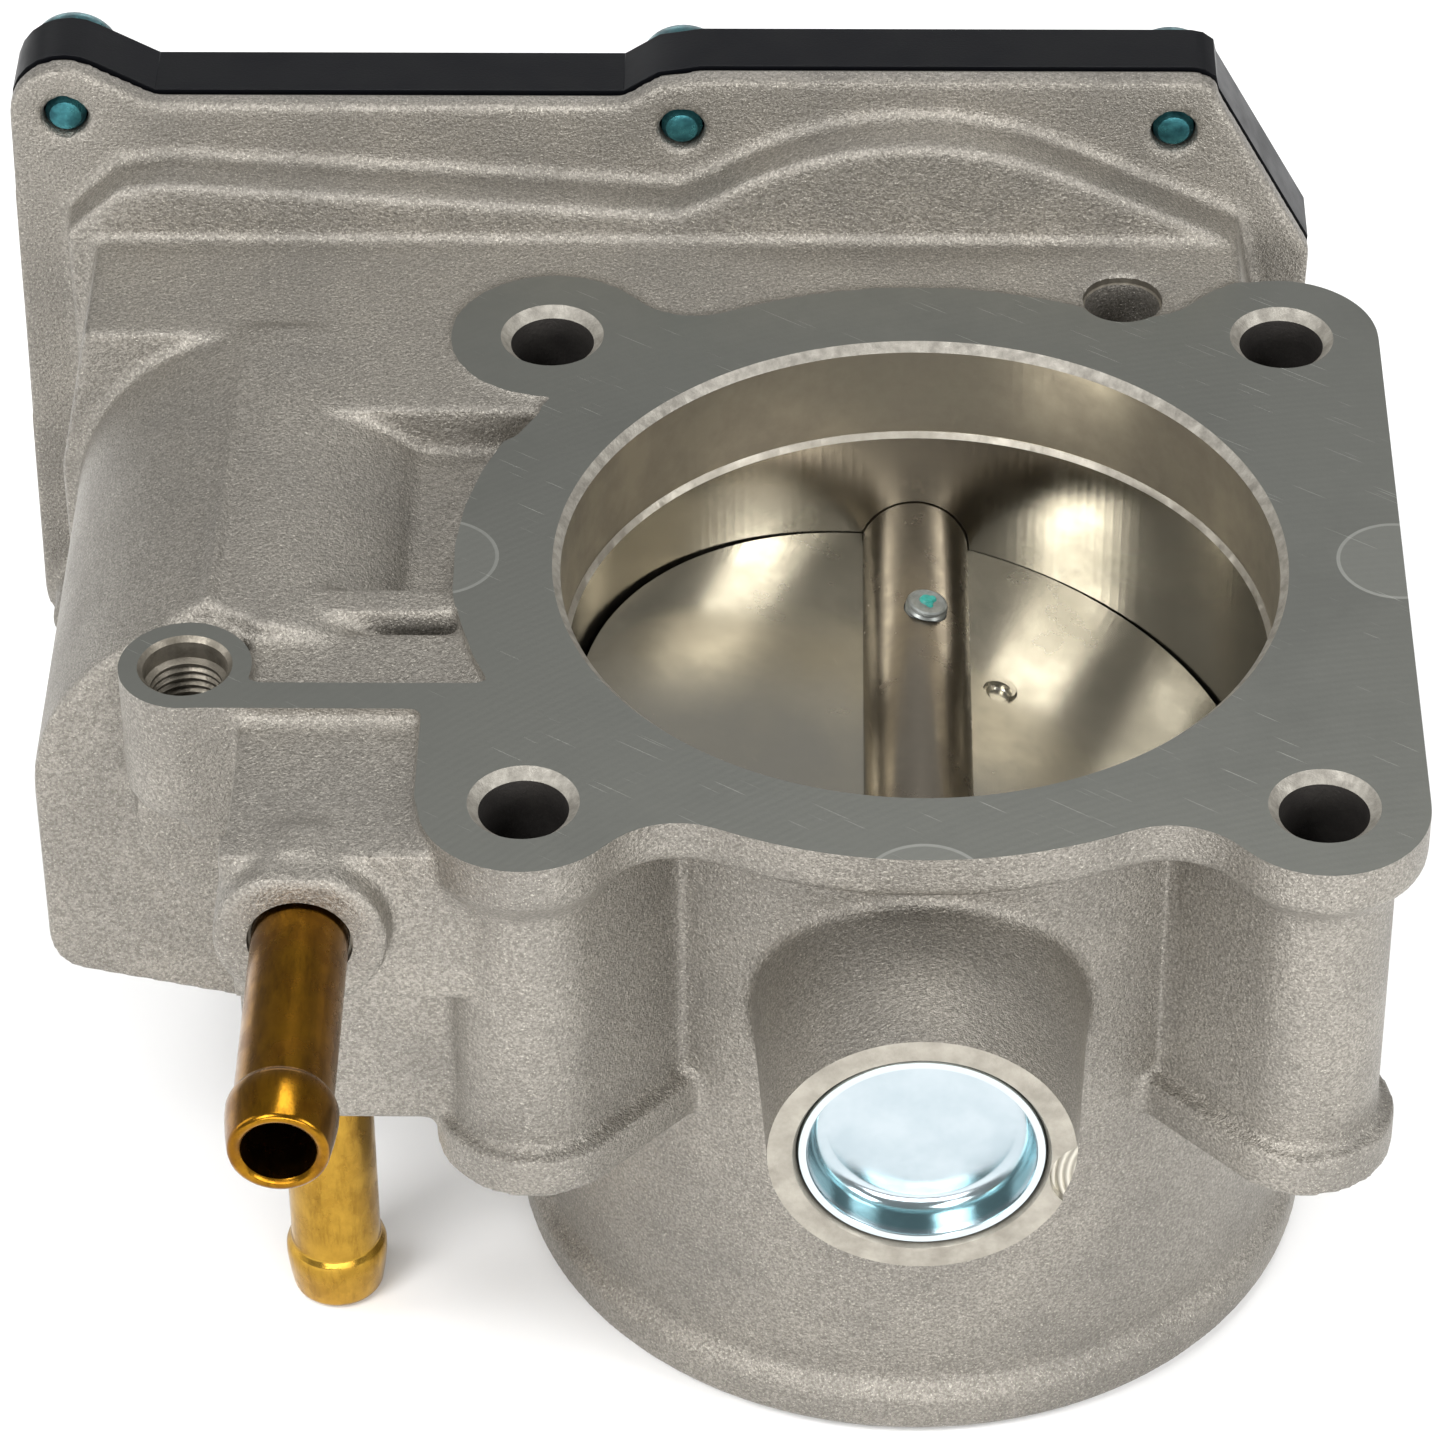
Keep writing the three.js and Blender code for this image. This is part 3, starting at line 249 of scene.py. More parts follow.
def copy_of(node, name):
    """The frame's own solid as a new piece, with its corners joined."""
    piece = frame["nodes"][node].copy()
    piece.data = piece.data.copy()
    piece.parent = None
    piece.hide_render = False
    bpy.context.collection.objects.link(piece)
    for key in list(piece.keys()):
        del piece[key]
    piece.data.materials.clear()
    only(piece)
    piece.name = name
    bpy.ops.object.mode_set(mode="EDIT")
    bpy.ops.mesh.select_all(action="SELECT")
    bpy.ops.mesh.remove_doubles(threshold=0.003 * MM)
    bpy.ops.object.mode_set(mode="OBJECT")
    return piece


def smooth(piece, degrees=30):
    only(piece)
    bpy.ops.object.shade_smooth_by_angle(angle=math.radians(degrees), keep_sharp_edges=True)
    return piece


def sharpen_between_surfaces(piece):
    """Marks every edge where one surface meets another, so that shading doesn't blend them."""
    mesh = piece.data
    seen = {}
    for face in mesh.polygons:
        for key in face.edge_keys:
            seen.setdefault(key, set()).add(face.material_index)
    for edge in mesh.edges:
        edge.use_edge_sharp = len(seen.get(edge.key, ())) > 1


def finish_piece(piece, node, body, material, degrees=30):
    """Gives the piece its surface, and puts it in place of the frame's solid."""
    if material is not None:
        piece.data.materials.clear()
        piece.data.materials.append(material)
    smooth(piece, degrees)
    modify(piece, "WEIGHTED_NORMAL", keep_sharp=True)
    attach(piece, body)
    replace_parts(piece, node)
    return piece


SLOTS = {entry["node"]: entry["material_slot"] for entry in frame["record"]["subparts"]}
BODY_OF = {
    node: body for body, nodes in frame["record"]["behaviour"]["bodies"].items() for node in nodes
}
print("tools ready for", len(SLOTS), "pieces")

# %% [markdown]
# Surfaces are built from a few shader nodes. One function turns a screen colour into linear
# light, and one adds a node with its settings and links. An image could be wrapped round each
# piece instead, but noise measured in millimetres has no seams and needs no unwrapping.

# %% Material tools


def linear(code):
    """The linear colour of an sRGB hex code."""
    parts = [int(code[i : i + 2], 16) / 255 for i in (1, 3, 5)]
    made = [c / 12.92 if c <= 0.04045 else ((c + 0.055) / 1.055) ** 2.4 for c in parts]
    return (*made, 1.0)


def add_node(tree, kind, links=None, values=None, **settings):
    node = tree.nodes.new(kind)
    for key, value in settings.items():
        setattr(node, key, value)
    for socket, value in (values or {}).items():
        node.inputs[socket].default_value = value
    for socket, source in (links or {}).items():
        tree.links.new(source, node.inputs[socket])
    return node


def noise(tree, place, size_mm, detail=2.0, rough=0.5, stretch=(1, 1, 1)):
    """Noise whose features are about size_mm across, stretched along an axis if asked."""
    scale = tuple(s / (size_mm * MM) for s in stretch)
    spot = add_node(tree, "ShaderNodeMapping", {"Vector": place}, {"Scale": scale})
    made = add_node(
        tree,
        "ShaderNodeTexNoise",
        {"Vector": spot.outputs[0]},
        {"Scale": 1.0, "Detail": detail, "Roughness": rough},
    )
    return made.outputs["Fac"]


def spread(tree, value, low, high, to_low=0.0, to_high=1.0):
    made = add_node(
        tree,
        "ShaderNodeMapRange",
        {"Value": value},
        {"From Min": low, "From Max": high, "To Min": to_low, "To Max": to_high},
    )
    return made.outputs[0]


def mix_colour(tree, factor, first, second):
    made = add_node(tree, "ShaderNodeMix", {"Factor": factor}, data_type="RGBA")
    for socket, colour in ((6, first), (7, second)):
        if isinstance(colour, str):
            made.inputs[socket].default_value = linear(colour)
        else:
            tree.links.new(colour, made.inputs[socket])
    return made.outputs[2]


def surface(name, light, dark, roughness, metallic, patch_mm=6.0, spread_rough=0.06):
    """A material whose colour and roughness wander between two values in soft patches."""
    material = bpy.data.materials.new(name)
    material.use_nodes = True
    tree = material.node_tree
    shader = tree.nodes["Principled BSDF"]
    shader.inputs["Metallic"].default_value = metallic
    place = add_node(tree, "ShaderNodeTexCoord").outputs["Object"]
    patch = spread(tree, noise(tree, place, patch_mm, detail=5.0, rough=0.6), 0.35, 0.65)
    tree.links.new(mix_colour(tree, patch, light, dark), shader.inputs["Base Color"])
    rough = spread(tree, patch, 0, 1, roughness - spread_rough, roughness + spread_rough)
    tree.links.new(rough, shader.inputs["Roughness"])
    return material, tree, shader, place


def bump(tree, shader, height, depth_mm, before=None):
    links = {"Height": height}
    if before is not None:
        links["Normal"] = before
    made = add_node(tree, "ShaderNodeBump", links, {"Strength": 1.0, "Distance": depth_mm * MM})
    tree.links.new(made.outputs[0], shader.inputs["Normal"])
    return made.outputs[0]


print("material tools ready")

# %% [markdown]
# Die-cast aluminium is warm grey and finely pebbled, because the casting was blasted. The grain is
# two layers of bump, about half a millimetre and a sixth of a millimetre across. It could be real
# geometry, but bump costs nothing at this size. Dark grains, a few specks and pale painted glints,
# a painted sparkle of light off the grain, colour it.

# %% Cast aluminium
# Blasted die casting: a dry grey that shades softly round every fillet, with painted glints for its
# sparkle.
cast, tree, shader, place = surface("cast aluminium", "#A29D94", "#8D8982", 0.46, 0.8, 14.0)
coarse = noise(tree, place, 0.45, detail=3.0, rough=0.65)
fine = noise(tree, place, 0.16, detail=2.0)
layer = bump(tree, shader, coarse, 0.16)
bump(tree, shader, fine, 0.09, layer)
base = shader.inputs["Base Color"].links[0].from_socket
grains = spread(tree, noise(tree, place, 0.28, detail=2.0, rough=0.6), 0.36, 0.62, 0.0, 0.75)
speckled = mix_colour(tree, grains, base, "#69655E")
# Painted glints: pale specks in the colour stand for light sparkling off the blasted grain.
painted_glints = spread(tree, noise(tree, place, 0.2, detail=1.0), 0.6, 0.74, 0.0, 0.6)
speckled = mix_colour(tree, painted_glints, speckled, "#C9C4B8")
specks = spread(tree, noise(tree, place, 0.9, detail=4.0, rough=0.7), 0.71, 0.76)
tree.links.new(mix_colour(tree, specks, speckled, "#4A453F"), shader.inputs["Base Color"])

# Tapped holes are torn, and their metal is coloured a darker grey than the casting's.
bored, tree, shader, place = surface("tapped aluminium", "#837D72", "#5E594F", 0.42, 0.75, 2.0)
bump(tree, shader, noise(tree, place, 0.3, detail=3.0, rough=0.65), 0.05)

# The bolt holes were cored in the die and never bored. Their walls are painted a soft black, which is
# painted shade inside each hole.
hole_wall_painted_shade, tree, shader, place = surface("cast hole wall", "#3E3B38", "#2E2B29", 0.6, 0.5, 3.0)
bump(tree, shader, noise(tree, place, 0.35, detail=3.0, rough=0.65), 0.08)
print("cast aluminium made")

# %% [markdown]
# The flange was cleaned with a face mill, so it is a cooler grey and almost flat. The cutter leaves
# wide, faint arcs across it, and handling leaves a few fine scratches. The arcs are a sine of the
# distance from a far centre: that is how the real ones come about, so they sweep the same way.

# %% Milled aluminium


def cutter_arcs(tree, place, centre_mm, pitch_mm):
    """Rings round a far centre, as a face mill leaves them."""
    shift = add_node(tree, "ShaderNodeVectorMath", {0: place}, operation="SUBTRACT")
    shift.inputs[1].default_value = [c * MM for c in centre_mm]
    length = add_node(tree, "ShaderNodeVectorMath", {0: shift.outputs[0]}, operation="LENGTH")
    turns = add_node(
        tree, "ShaderNodeMath", {0: length.outputs["Value"]}, operation="MULTIPLY"
    )
    turns.inputs[1].default_value = 2 * math.pi / (pitch_mm * MM)
    return add_node(tree, "ShaderNodeMath", {0: turns.outputs[0]}, operation="SINE").outputs[0]


def scratches(tree, place, length_mm, width_mm, turn):
    """Sparse fine lines, from noise stretched along one direction."""
    spun = add_node(tree, "ShaderNodeMapping", {"Vector": place}, {"Rotation": (0, 0, turn)})
    lines = noise(tree, spun.outputs[0], width_mm, 1.0, 0.4, (width_mm / length_mm, 1, 1))
    return spread(tree, lines, 0.73, 0.76)


# Milled face: an even, quiet grey, whose only life is the faint sweep of the cutter.
milled, tree, shader, place = surface("milled aluminium", "#83847E", "#6E6F6A", 0.38, 0.9, 24.0)
arcs = cutter_arcs(tree, place, (60, -140, 0), 0.9)
layer = bump(tree, shader, arcs, 0.0012)
layer = bump(tree, shader, noise(tree, place, 0.35, 3.0), 0.006, layer)
marks = scratches(tree, place, 9.0, 0.12, 0.6)
bump(tree, shader, marks, 0.01, layer)
base = shader.inputs["Base Color"].links[0].from_socket
marked = mix_colour(tree, marks, base, "#A5A69F")
print("milled face made")

# %% [markdown]
# The die's ejector pins leave round marks at the flange's edge, which the cutter only just cleans,
# and one small pore lies open. They are only a change of colour, so they are drawn in the
# material, by distance from each mark's centre, and not cut into the shape. The pore's dark spot is
# painted shade, standing in for the shade inside its open hole.

# %% Marks on the flange
PIN_MARKS = ((43.7, 0, 0), (-44.2, 0, 0), (0, -45.4, 0))
PIN_RADIUS = 5.4
PORE = (-25.9, -17.0, 0)


def ring_mark(tree, place, centre_mm, radius_mm, width_mm):
    """One inside a thin ring, and zero elsewhere."""
    shift = add_node(tree, "ShaderNodeVectorMath", {0: place}, operation="SUBTRACT")
    shift.inputs[1].default_value = [c * MM for c in centre_mm]
    length = add_node(tree, "ShaderNodeVectorMath", {0: shift.outputs[0]}, operation="LENGTH")
    made = add_node(
        tree,
        "ShaderNodeMath",
        {0: length.outputs["Value"]},
        operation="COMPARE",
    )
    made.inputs[1].default_value = radius_mm * MM
    made.inputs[2].default_value = width_mm * MM / 2
    return made.outputs[0]


for centre in PIN_MARKS:
    ring = spread(tree, ring_mark(tree, place, centre, PIN_RADIUS, 0.35), 0, 1, 0, 0.55)
    marked = mix_colour(tree, ring, marked, "#B1B2AC")
    disc = spread(tree, ring_mark(tree, place, centre, 0.0, 10.6), 0, 1, 0, 0.3)
    marked = mix_colour(tree, disc, marked, "#92938D")
# The pore: a dark spot painted as the shade inside its open hole.
pore_painted_shade = ring_mark(tree, place, PORE, 0.0, 1.3)
marked = mix_colour(tree, pore_painted_shade, marked, "#4A4B4B")
tree.links.new(marked, shader.inputs["Base Color"])
print(len(PIN_MARKS), "pin marks and a pore drawn")

# %% [markdown]
# Other tools leave other faces: a lathe leaves rings on the plug's boss, a countersink leaves a
# rough bright edge round each hole, and a boring bar leaves a fine sheen inside the flange. Each
# gets its own material, because the eye tells a machined part by how its faces differ.

# %% Turned, chamfered and bored aluminium
# Turned face: pale and a little sparkling, with rings too fine to count.
turned_face, tree, shader, place = surface(
    "turned aluminium", "#A5A095", "#8C877D", 0.45, 0.8, 3.0
)
spark = noise(tree, place, 0.3, 3.0, 0.65)
rings = noise(tree, place, 0.25, 2.0, 0.5, (0.05, 1, 1))
layer = bump(tree, shader, rings, 0.01)
bump(tree, shader, spark, 0.05, layer)

# Chamfered edge: a broken, silvery line that picks each hole out from the flange.
cut_edge, tree, shader, place = surface(
    "chamfered aluminium", "#97938A", "#77736B", 0.5, 0.35, 1.2
)
bump(tree, shader, noise(tree, place, 0.3, 3.0, 0.65), 0.07)

# A tool has bitten the boss beside the plug, and left a patch of deep, bright arcs.
nick, tree, shader, place = surface("tooled aluminium", "#B9B4A8", "#98938A", 0.42, 0.7, 2.0)
arcs = cutter_arcs(tree, place, (19.5, -54, -26.8), 0.62)
bump(tree, shader, arcs, 0.07)
tree.links.new(
    mix_colour(tree, spread(tree, arcs, -0.2, 0.9, 0.0, 0.7), "#C6C1B4", "#6E6A60"),
    shader.inputs["Base Color"],
)

# Bored wall: a warm, satin band above the mirror of the bore itself.
mouth_wall, tree, shader, place = surface(
    "bored aluminium", "#A39C8D", "#8E877A", 0.38, 0.88, 7.0
)
rings = noise(tree, place, 0.12, 2.0, 0.5, (0.02, 0.02, 1))
bump(tree, shader, rings, 0.012)
print("machined faces made")

# %% [markdown]
# The bore and the plate are burnished, so that the plate seals and air slides by. They mirror the
# room and each other in long streaks. Stretched noise gives the direction: round the bore, along
# the plate's rolling lines, and round the ground shaft. A uniform gloss would look like plastic.

# %% Burnished bore and plate
# Burnished bore: a bright, drawn-out reflection that darkens towards the far side.
bright_bore, tree, shader, place = surface(
    "burnished bore", "#B7B3A9", "#A5A197", 0.20, 1.0, 9.0, 0.05
)
rings = noise(tree, place, 0.09, 2.0, 0.5, (0.01, 0.01, 1))
bump(tree, shader, rings, 0.004)

# Rolled brass, greyed with use: a calm mirror with a faint grain and a few fine scratches.
plate_brass, tree, shader, place = surface(
    "rolled brass", "#B8B4A8", "#A6A296", 0.22, 1.0, 9.0, 0.06
)
grain = noise(tree, place, 0.12, 2.0, 0.5, (1, 0.012, 1))
layer = bump(tree, shader, grain, 0.003)
marks = scratches(tree, place, 6.0, 0.1, 1.2)
bump(tree, shader, marks, 0.002, layer)

# Ground steel: a darker bar with one long highlight, crossed by grinding rings.
shaft_steel, tree, shader, place = surface(
    "ground steel", "#9A9284", "#877F73", 0.24, 1.0, 5.0, 0.05
)
rings = noise(tree, place, 0.1, 2.0, 0.5, (0.03, 1, 0.03))
bump(tree, shader, rings, 0.004)
print("bright metals made")

# %% [markdown]
# Steel pieces are zinc plated against rust, and a chromate film tints the zinc: blue-white where it
# is thin, teal where it is thick. One colour could cover the cup plug, but its drawn wall is painted
# a darker teal than its flat bottom, partly for the thicker film and partly as painted shade inside
# the cup, and its rim a paler grey, a painted highlight. So the colour follows how deep in the cup a
# point lies.

# %% Zinc plate
CUP_WALL = (-50.1, -51.2)
CUP_RIM = (-52.7, -53.4)
# Bright zinc: the coldest and cleanest surface here, almost a mirror.
zinc, tree, shader, place = surface("bright zinc plate", "#B4BEC3", "#A8B4BA", 0.2, 1.0, 5.0, 0.05)
bump(tree, shader, noise(tree, place, 0.8, 3.0), 0.006)
# Darker teal on the wall: partly the chromate's tint, partly painted shade inside the cup. Paler rim:
# a painted highlight.
depth = add_node(tree, "ShaderNodeSeparateXYZ", {"Vector": place}).outputs["Y"]
wall = spread(tree, depth, CUP_WALL[0] * MM, CUP_WALL[1] * MM)
rim = spread(tree, depth, CUP_RIM[0] * MM, CUP_RIM[1] * MM)
base = shader.inputs["Base Color"].links[0].from_socket
film_and_painted_shade = mix_colour(tree, wall, base, "#8FB1B6")
tree.links.new(mix_colour(tree, rim, film_and_painted_shade, "#C3CCCF"), shader.inputs["Base Color"])

# Dull zinc: the plate's screws, hazed by heat and oil.
dull_zinc, tree, shader, place = surface("dull zinc plate", "#8E918E", "#757875", 0.42, 0.8, 1.0)
bump(tree, shader, noise(tree, place, 0.3, 3.0), 0.01)

# Teal zinc: the cover's screws, a deep blue-green with cloudy patches.
teal, tree, shader, place = surface("teal zinc plate", "#3E7A80", "#1E474E", 0.32, 0.85, 1.6, 0.08)
bump(tree, shader, noise(tree, place, 0.3, 3.0), 0.01)
print("zinc plates made")

# %% [markdown]
# The coolant pipes are drawn brass tubes. Heat and coolant have stained them along their length, so
# the stains are noise stretched along each pipe: the lower pipe lies along Z and the front one
# along Y. Painted patches could do the same, but noise keeps its scale on any length of tube.

# %% Brass
# Tarnished brass: the lower pipe's, yellow and glossy with brown clouds.
brass, tree, shader, place = surface("tarnished brass", "#C2993E", "#A98231", 0.24, 1.0, 3.0, 0.07)
base = shader.inputs["Base Color"].links[0].from_socket
stains = spread(tree, noise(tree, place, 1.4, 8.0, 0.78, (1, 1, 0.25)), 0.48, 0.80)
tree.links.new(mix_colour(tree, stains, base, "#7C5A1E"), shader.inputs["Base Color"])
bump(tree, shader, noise(tree, place, 0.25, 3.0, 0.6), 0.008)

# Heat-stained brass: the front pipe's, gone to a darker amber.
amber, tree, shader, place = surface("heat-stained brass", "#94691A", "#764F12", 0.25, 1.0, 3.0, 0.07)
base = shader.inputs["Base Color"].links[0].from_socket
stains = spread(tree, noise(tree, place, 1.4, 8.0, 0.78, (1, 0.25, 1)), 0.46, 0.80)
tree.links.new(mix_colour(tree, stains, base, "#4C300C"), shader.inputs["Base Color"])
bump(tree, shader, noise(tree, place, 0.25, 3.0, 0.6), 0.008)
print("brass made")

# %% [markdown]
# Mouldings take the texture of their mould, so they need only one colour and a very fine grain. The
# cover's glass-filled plastic is nearly black, and its low specular keeps it from turning grey
# under the soft lights. Seals and the gasket are rubber, which scatters light instead.

# %% Plastics and rubber
# Moulded black plastic: a dark frame behind the casting, seen mostly by its edges.
plastic, tree, shader, place = surface("moulded black plastic", "#0A0B0F", "#07080B", 0.36, 0.0, 6.0)
shader.inputs["Specular IOR Level"].default_value = 0.16
bump(tree, shader, noise(tree, place, 0.25, 2.0), 0.01)

# Gear plastic: undyed, warm white and slightly waxy.
gear_plastic, tree, shader, place = surface("gear plastic", "#DCD5C0", "#CFC7B0", 0.45, 0.0, 6.0)
bump(tree, shader, noise(tree, place, 0.4, 2.0), 0.01)

# Moulded rubber: flat black without a highlight.
rubber, tree, shader, place = surface("moulded rubber", "#222222", "#181818", 0.7, 0.0, 3.0)
bump(tree, shader, noise(tree, place, 0.3, 2.0), 0.02)
print("plastics and rubber made")

# %% [markdown]
# The bearings, the motor and the sensor are hidden, but a reader may open the case. They get plain
# materials for what they are really made of, each told apart by its colour, its gloss and the size
# of its grain.

# %% Inner metals and the circuit board
# Bare steel: bearing rings and pins, neutral and bright.
steel, tree, shader, place = surface("bare steel", "#A9ABAD", "#97999B", 0.26, 1.0, 4.0)
bump(tree, shader, noise(tree, place, 0.2, 2.0), 0.004)

# Drawn steel: the motor's can, softer and a shade darker.
can, tree, shader, place = surface("drawn steel", "#9A9DA0", "#85888B", 0.34, 1.0, 6.0)
bump(tree, shader, noise(tree, place, 0.5, 3.0), 0.008)

# Pressed ferrite: the magnets, a matt charcoal.
ferrite, tree, shader, place = surface("pressed ferrite", "#3D3D40", "#323234", 0.6, 0.15, 3.0)
bump(tree, shader, noise(tree, place, 0.3, 3.0), 0.02)

# Wound copper: enamelled wire, drawn as ridges along the winding.
copper, tree, shader, place = surface("wound copper", "#A65E33", "#7E4322", 0.35, 0.8, 2.0)
wires = noise(tree, place, 0.4, 1.0, 0.4, (1, 0.05, 1))
bump(tree, shader, wires, 0.12)

# Spring wire is dark and shiny, the board is green under its varnish, and tin is nearly white.
wire, tree, shader, place = surface("spring wire", "#7B7E82", "#686B6F", 0.3, 1.0, 3.0)
board, tree, shader, place = surface("coated board", "#2A6B41", "#215635", 0.4, 0.0, 4.0)
tin, tree, shader, place = surface("tin plate", "#D2D2CE", "#BFBFBA", 0.24, 1.0, 2.0)
print(len(bpy.data.materials), "materials")

# %% [markdown]
# The housing is one die casting. It starts as the frame's solid, and is made as the foundry makes
# it: cast with extra stock and without holes, then machined. So the faces to be milled are raised,
# the holes are filled, and the round walls are renewed with finer ones.

# %% The casting's raw shape
housing = copy_of("housing", "cast_housing")
STOCK = 1.5
FACE = {"back": 47.5, "left": -46, "front": -9.5}
for vertex in housing.data.vertices:
    x, y, z = vertex.co / MM
    on_face = abs(z) < 0.0005 and y < FACE["back"]
    if on_face and (x > FACE["left"] or y < FACE["front"]):
        vertex.co.z = STOCK * MM

barrel_profile = [
    (0, BORE["end"]),
    (BORE["outer"], BORE["end"]),
    (BORE["outer"] + 0.7, BORE["end"] + 0.3),
    (BORE["outer"] + 1.0, BORE["end"] + 1.0),
    (BORE["outer"] + 1.0, -71.2),
    (BORE["outer"] + 0.6, -70.5),
    (BORE["outer"] - 0.2, -69.6),
    (BORE["outer"] - 0.4, -68.6),
    (BORE["outer"], -40),
    (BORE["outer"], STOCK),
    (0, STOCK),
]
fill = [
    turned(barrel_profile, steps=180, name="wall"),
    bar_z(0, 0, -4.6, STOCK, 42, sides=200),
    bar_y(SHAFT["x"], SHAFT["z"], PLUG["face"] - STOCK, -25.6, 13.45, PLUG["root"]),
    bar_y(MOTOR["x"], MOTOR["z"], MOTOR["end"], 35.8, MOTOR["radius"], sides=160),
    bar_y(MOTOR["x"], MOTOR["z"], MOTOR["end"] - 3.5, MOTOR["end"] + 1, MOTOR["boss"]),
    bar_y(FRONT_PIPE["x"], FRONT_PIPE["z"], FRONT_PIPE["face"], -36, PIPE_BOSS),
    bar_z(LOWER_PIPE["x"], LOWER_PIPE["y"], LOWER_PIPE["face"], -20, 7.1),
    bar_z(BRACKET["x"], BRACKET["y"], BRACKET["bottom"], STOCK, BRACKET["radius"]),
]
print("stock added, and", len(fill), "round walls ready")

# %% [markdown]
# Four columns carry the flange's bolts. Each widens into a round pad under the flange, and at its
# foot a low ridge runs along the web that ties it to the bore's barrel. The ridge is the hull of
# two bars, like a belt round two pulleys. Its straight sides could be drawn as a box, but the hull
# finds their slant by itself.

# %% Bolt columns
RIDGE = {"top": -35.2, "proud": 1.55, "root": 7.4}


def belt(x, y, low, high, radius, inner):
    """The web from a bolt column to the bore: a sheet drawn round one large and one small bar."""
    column = bar_z(x, y, low, high, radius, sides=96)
    root = bar_z(0, 0, low, high, inner, sides=96)
    only(column)
    root.select_set(True)
    bpy.ops.object.join()
    bpy.ops.object.mode_set(mode="EDIT")
    bpy.ops.mesh.select_all(action="SELECT")
    bpy.ops.mesh.delete(type="EDGE_FACE")
    bpy.ops.mesh.select_all(action="SELECT")
    bpy.ops.mesh.convex_hull()
    bpy.ops.object.mode_set(mode="OBJECT")
    return column


for x, y in BOLTS:
    column = COLUMN["left"] if x < 0 else COLUMN["right"]
    fill.append(bar_z(x, y, COLUMN["foot"], -4, column, sides=72))
    wide = column + RIDGE["proud"]
    fill.append(belt(x, y, COLUMN["foot"], RIDGE["top"], wide, RIDGE["root"]))
    fill.append(bar_z(x, y, -7.4, -4.4, column, COLUMN["pad"], sides=72))
    fill.append(bar_z(x, y, -4.6, STOCK, COLUMN["pad"], sides=96))
unite([housing] + fill)
print("columns joined:", len(BOLTS))

# %% [markdown]
# The gear case bulges where it clears the sector gear, so two round walls about the shaft's line
# stand out of its steps. A full ring could be sunk into the case, but only part of it may show, so
# each ring is kept on one side of a plane or two.

# %% The gear case's round walls


def arch(outer, inner, start, end, keep):
    """Part of a round wall about the shaft, kept on one side of each plane in keep."""
    ring = carve(
        bar_y(SHAFT["x"], SHAFT["z"], start, end, outer, sides=160),
        [bar_y(SHAFT["x"], SHAFT["z"], start - 1, end + 1, inner, sides=160)],
    )
    for x, y, z in keep:
        box = block(x, y, z, "keep")
        modify(ring, "BOOLEAN", operation="INTERSECT", object=box, solver="MANIFOLD")
        bpy.data.objects.remove(box)
    return ring


unite(
    [
        housing,
        arch(34.6, 32.2, 50.5, 57, [((-21, 14.4), (40, 60), (-1, 20))]),
        arch(34.8, 32.2, 41, 57, [((-20, 40), (40, 60), (-70, -21))]),
    ]
)

print("round walls joined")

# %% [markdown]
# Two places need metal taken away before the skin is made, so that their edges come out soft like
# the rest: the front pipe's boss, which is round and ends level with the coolant block's top, and
# a shallow valley between the bracket boss and the motor's barrel.

# %% The pipe boss and the valley
reach = (FRONT_PIPE["x"] - 9, FRONT_PIPE["x"] + 9)
depth = (FRONT_PIPE["face"] - 1, BLOCK["front"])
corners = carve(
    block(reach, depth, (FRONT_PIPE["z"], BLOCK["top"] + 1)),
    [bar_y(FRONT_PIPE["x"], FRONT_PIPE["z"], depth[0] - 1, depth[1] + 1, PIPE_BOSS)],
)
carve(housing, [corners, block(reach, depth, (BLOCK["top"], BLOCK["top"] + 3))])

valley = carve(
    bar_z(BRACKET["x"], BRACKET["y"], -1.4, 4, BRACKET["radius"] + 2.2),
    [
        bar_z(BRACKET["x"], BRACKET["y"], -2, 5, BRACKET["radius"] + 0.1),
        block((-80, -50), (-40, BRACKET["y"]), (-2, 5)),
    ],
)
carve(housing, [valley])
print("raw casting:", len(housing.data.polygons), "faces")

# %% [markdown]
# Molten metal can't fill a sharp corner, so a die casting has a small fillet everywhere. Bevels
# could round each edge, but they break down on a shape where so many meet. Voxels melt the whole
# shape into one skin instead, smoothing rounds it by a few tenths of a millimetre, and decimation
# takes away the triangles that flat areas don't need.

# %% Melt and smooth the skin
VOXEL = 0.52
SMOOTHING = 6
SKIN_TARGET = 165000
modify(housing, "REMESH", mode="VOXEL", voxel_size=VOXEL * MM)
modify(housing, "SMOOTH", factor=0.5, iterations=SMOOTHING)
modify(housing, "TRIANGULATE")
modify(housing, "DECIMATE", ratio=min(1.0, SKIN_TARGET / len(housing.data.polygons)))
print("skin:", len(housing.data.polygons), "triangles")

# %% [markdown]
# Next the casting is machined, in the order of the real job: faces first, then the bore. Each
# cutter carries the surface that it leaves, so what it touches comes out bright and the rest stays
# as cast. Faces could be picked out by their direction instead, but a cutter leaves a crisp line
# exactly where its cut ends.

# %% Mill the flange and bore the barrel
housing.data.materials.clear()
WORKED = (cast, milled, mouth_wall, bright_bore, turned_face, cut_edge, nick, bored, hole_wall_painted_shade)
for material in WORKED:
    housing.data.materials.append(material)


def cutter(piece, material):
    piece.data.materials.clear()
    piece.data.materials.append(material)
    return piece


boss = bar_z(BRACKET["x"], BRACKET["y"], 0, 6, BRACKET["radius"] + 0.45, sides=96)
tops = [
    block((-46, 52), (-52, 46.8), (0, 6)),
    block((BRACKET["x"], -45), (-25, BRACKET["y"] + 1), (0, 6)),
    boss,
]
for piece in tops:
    carve(housing, [cutter(piece, milled)])

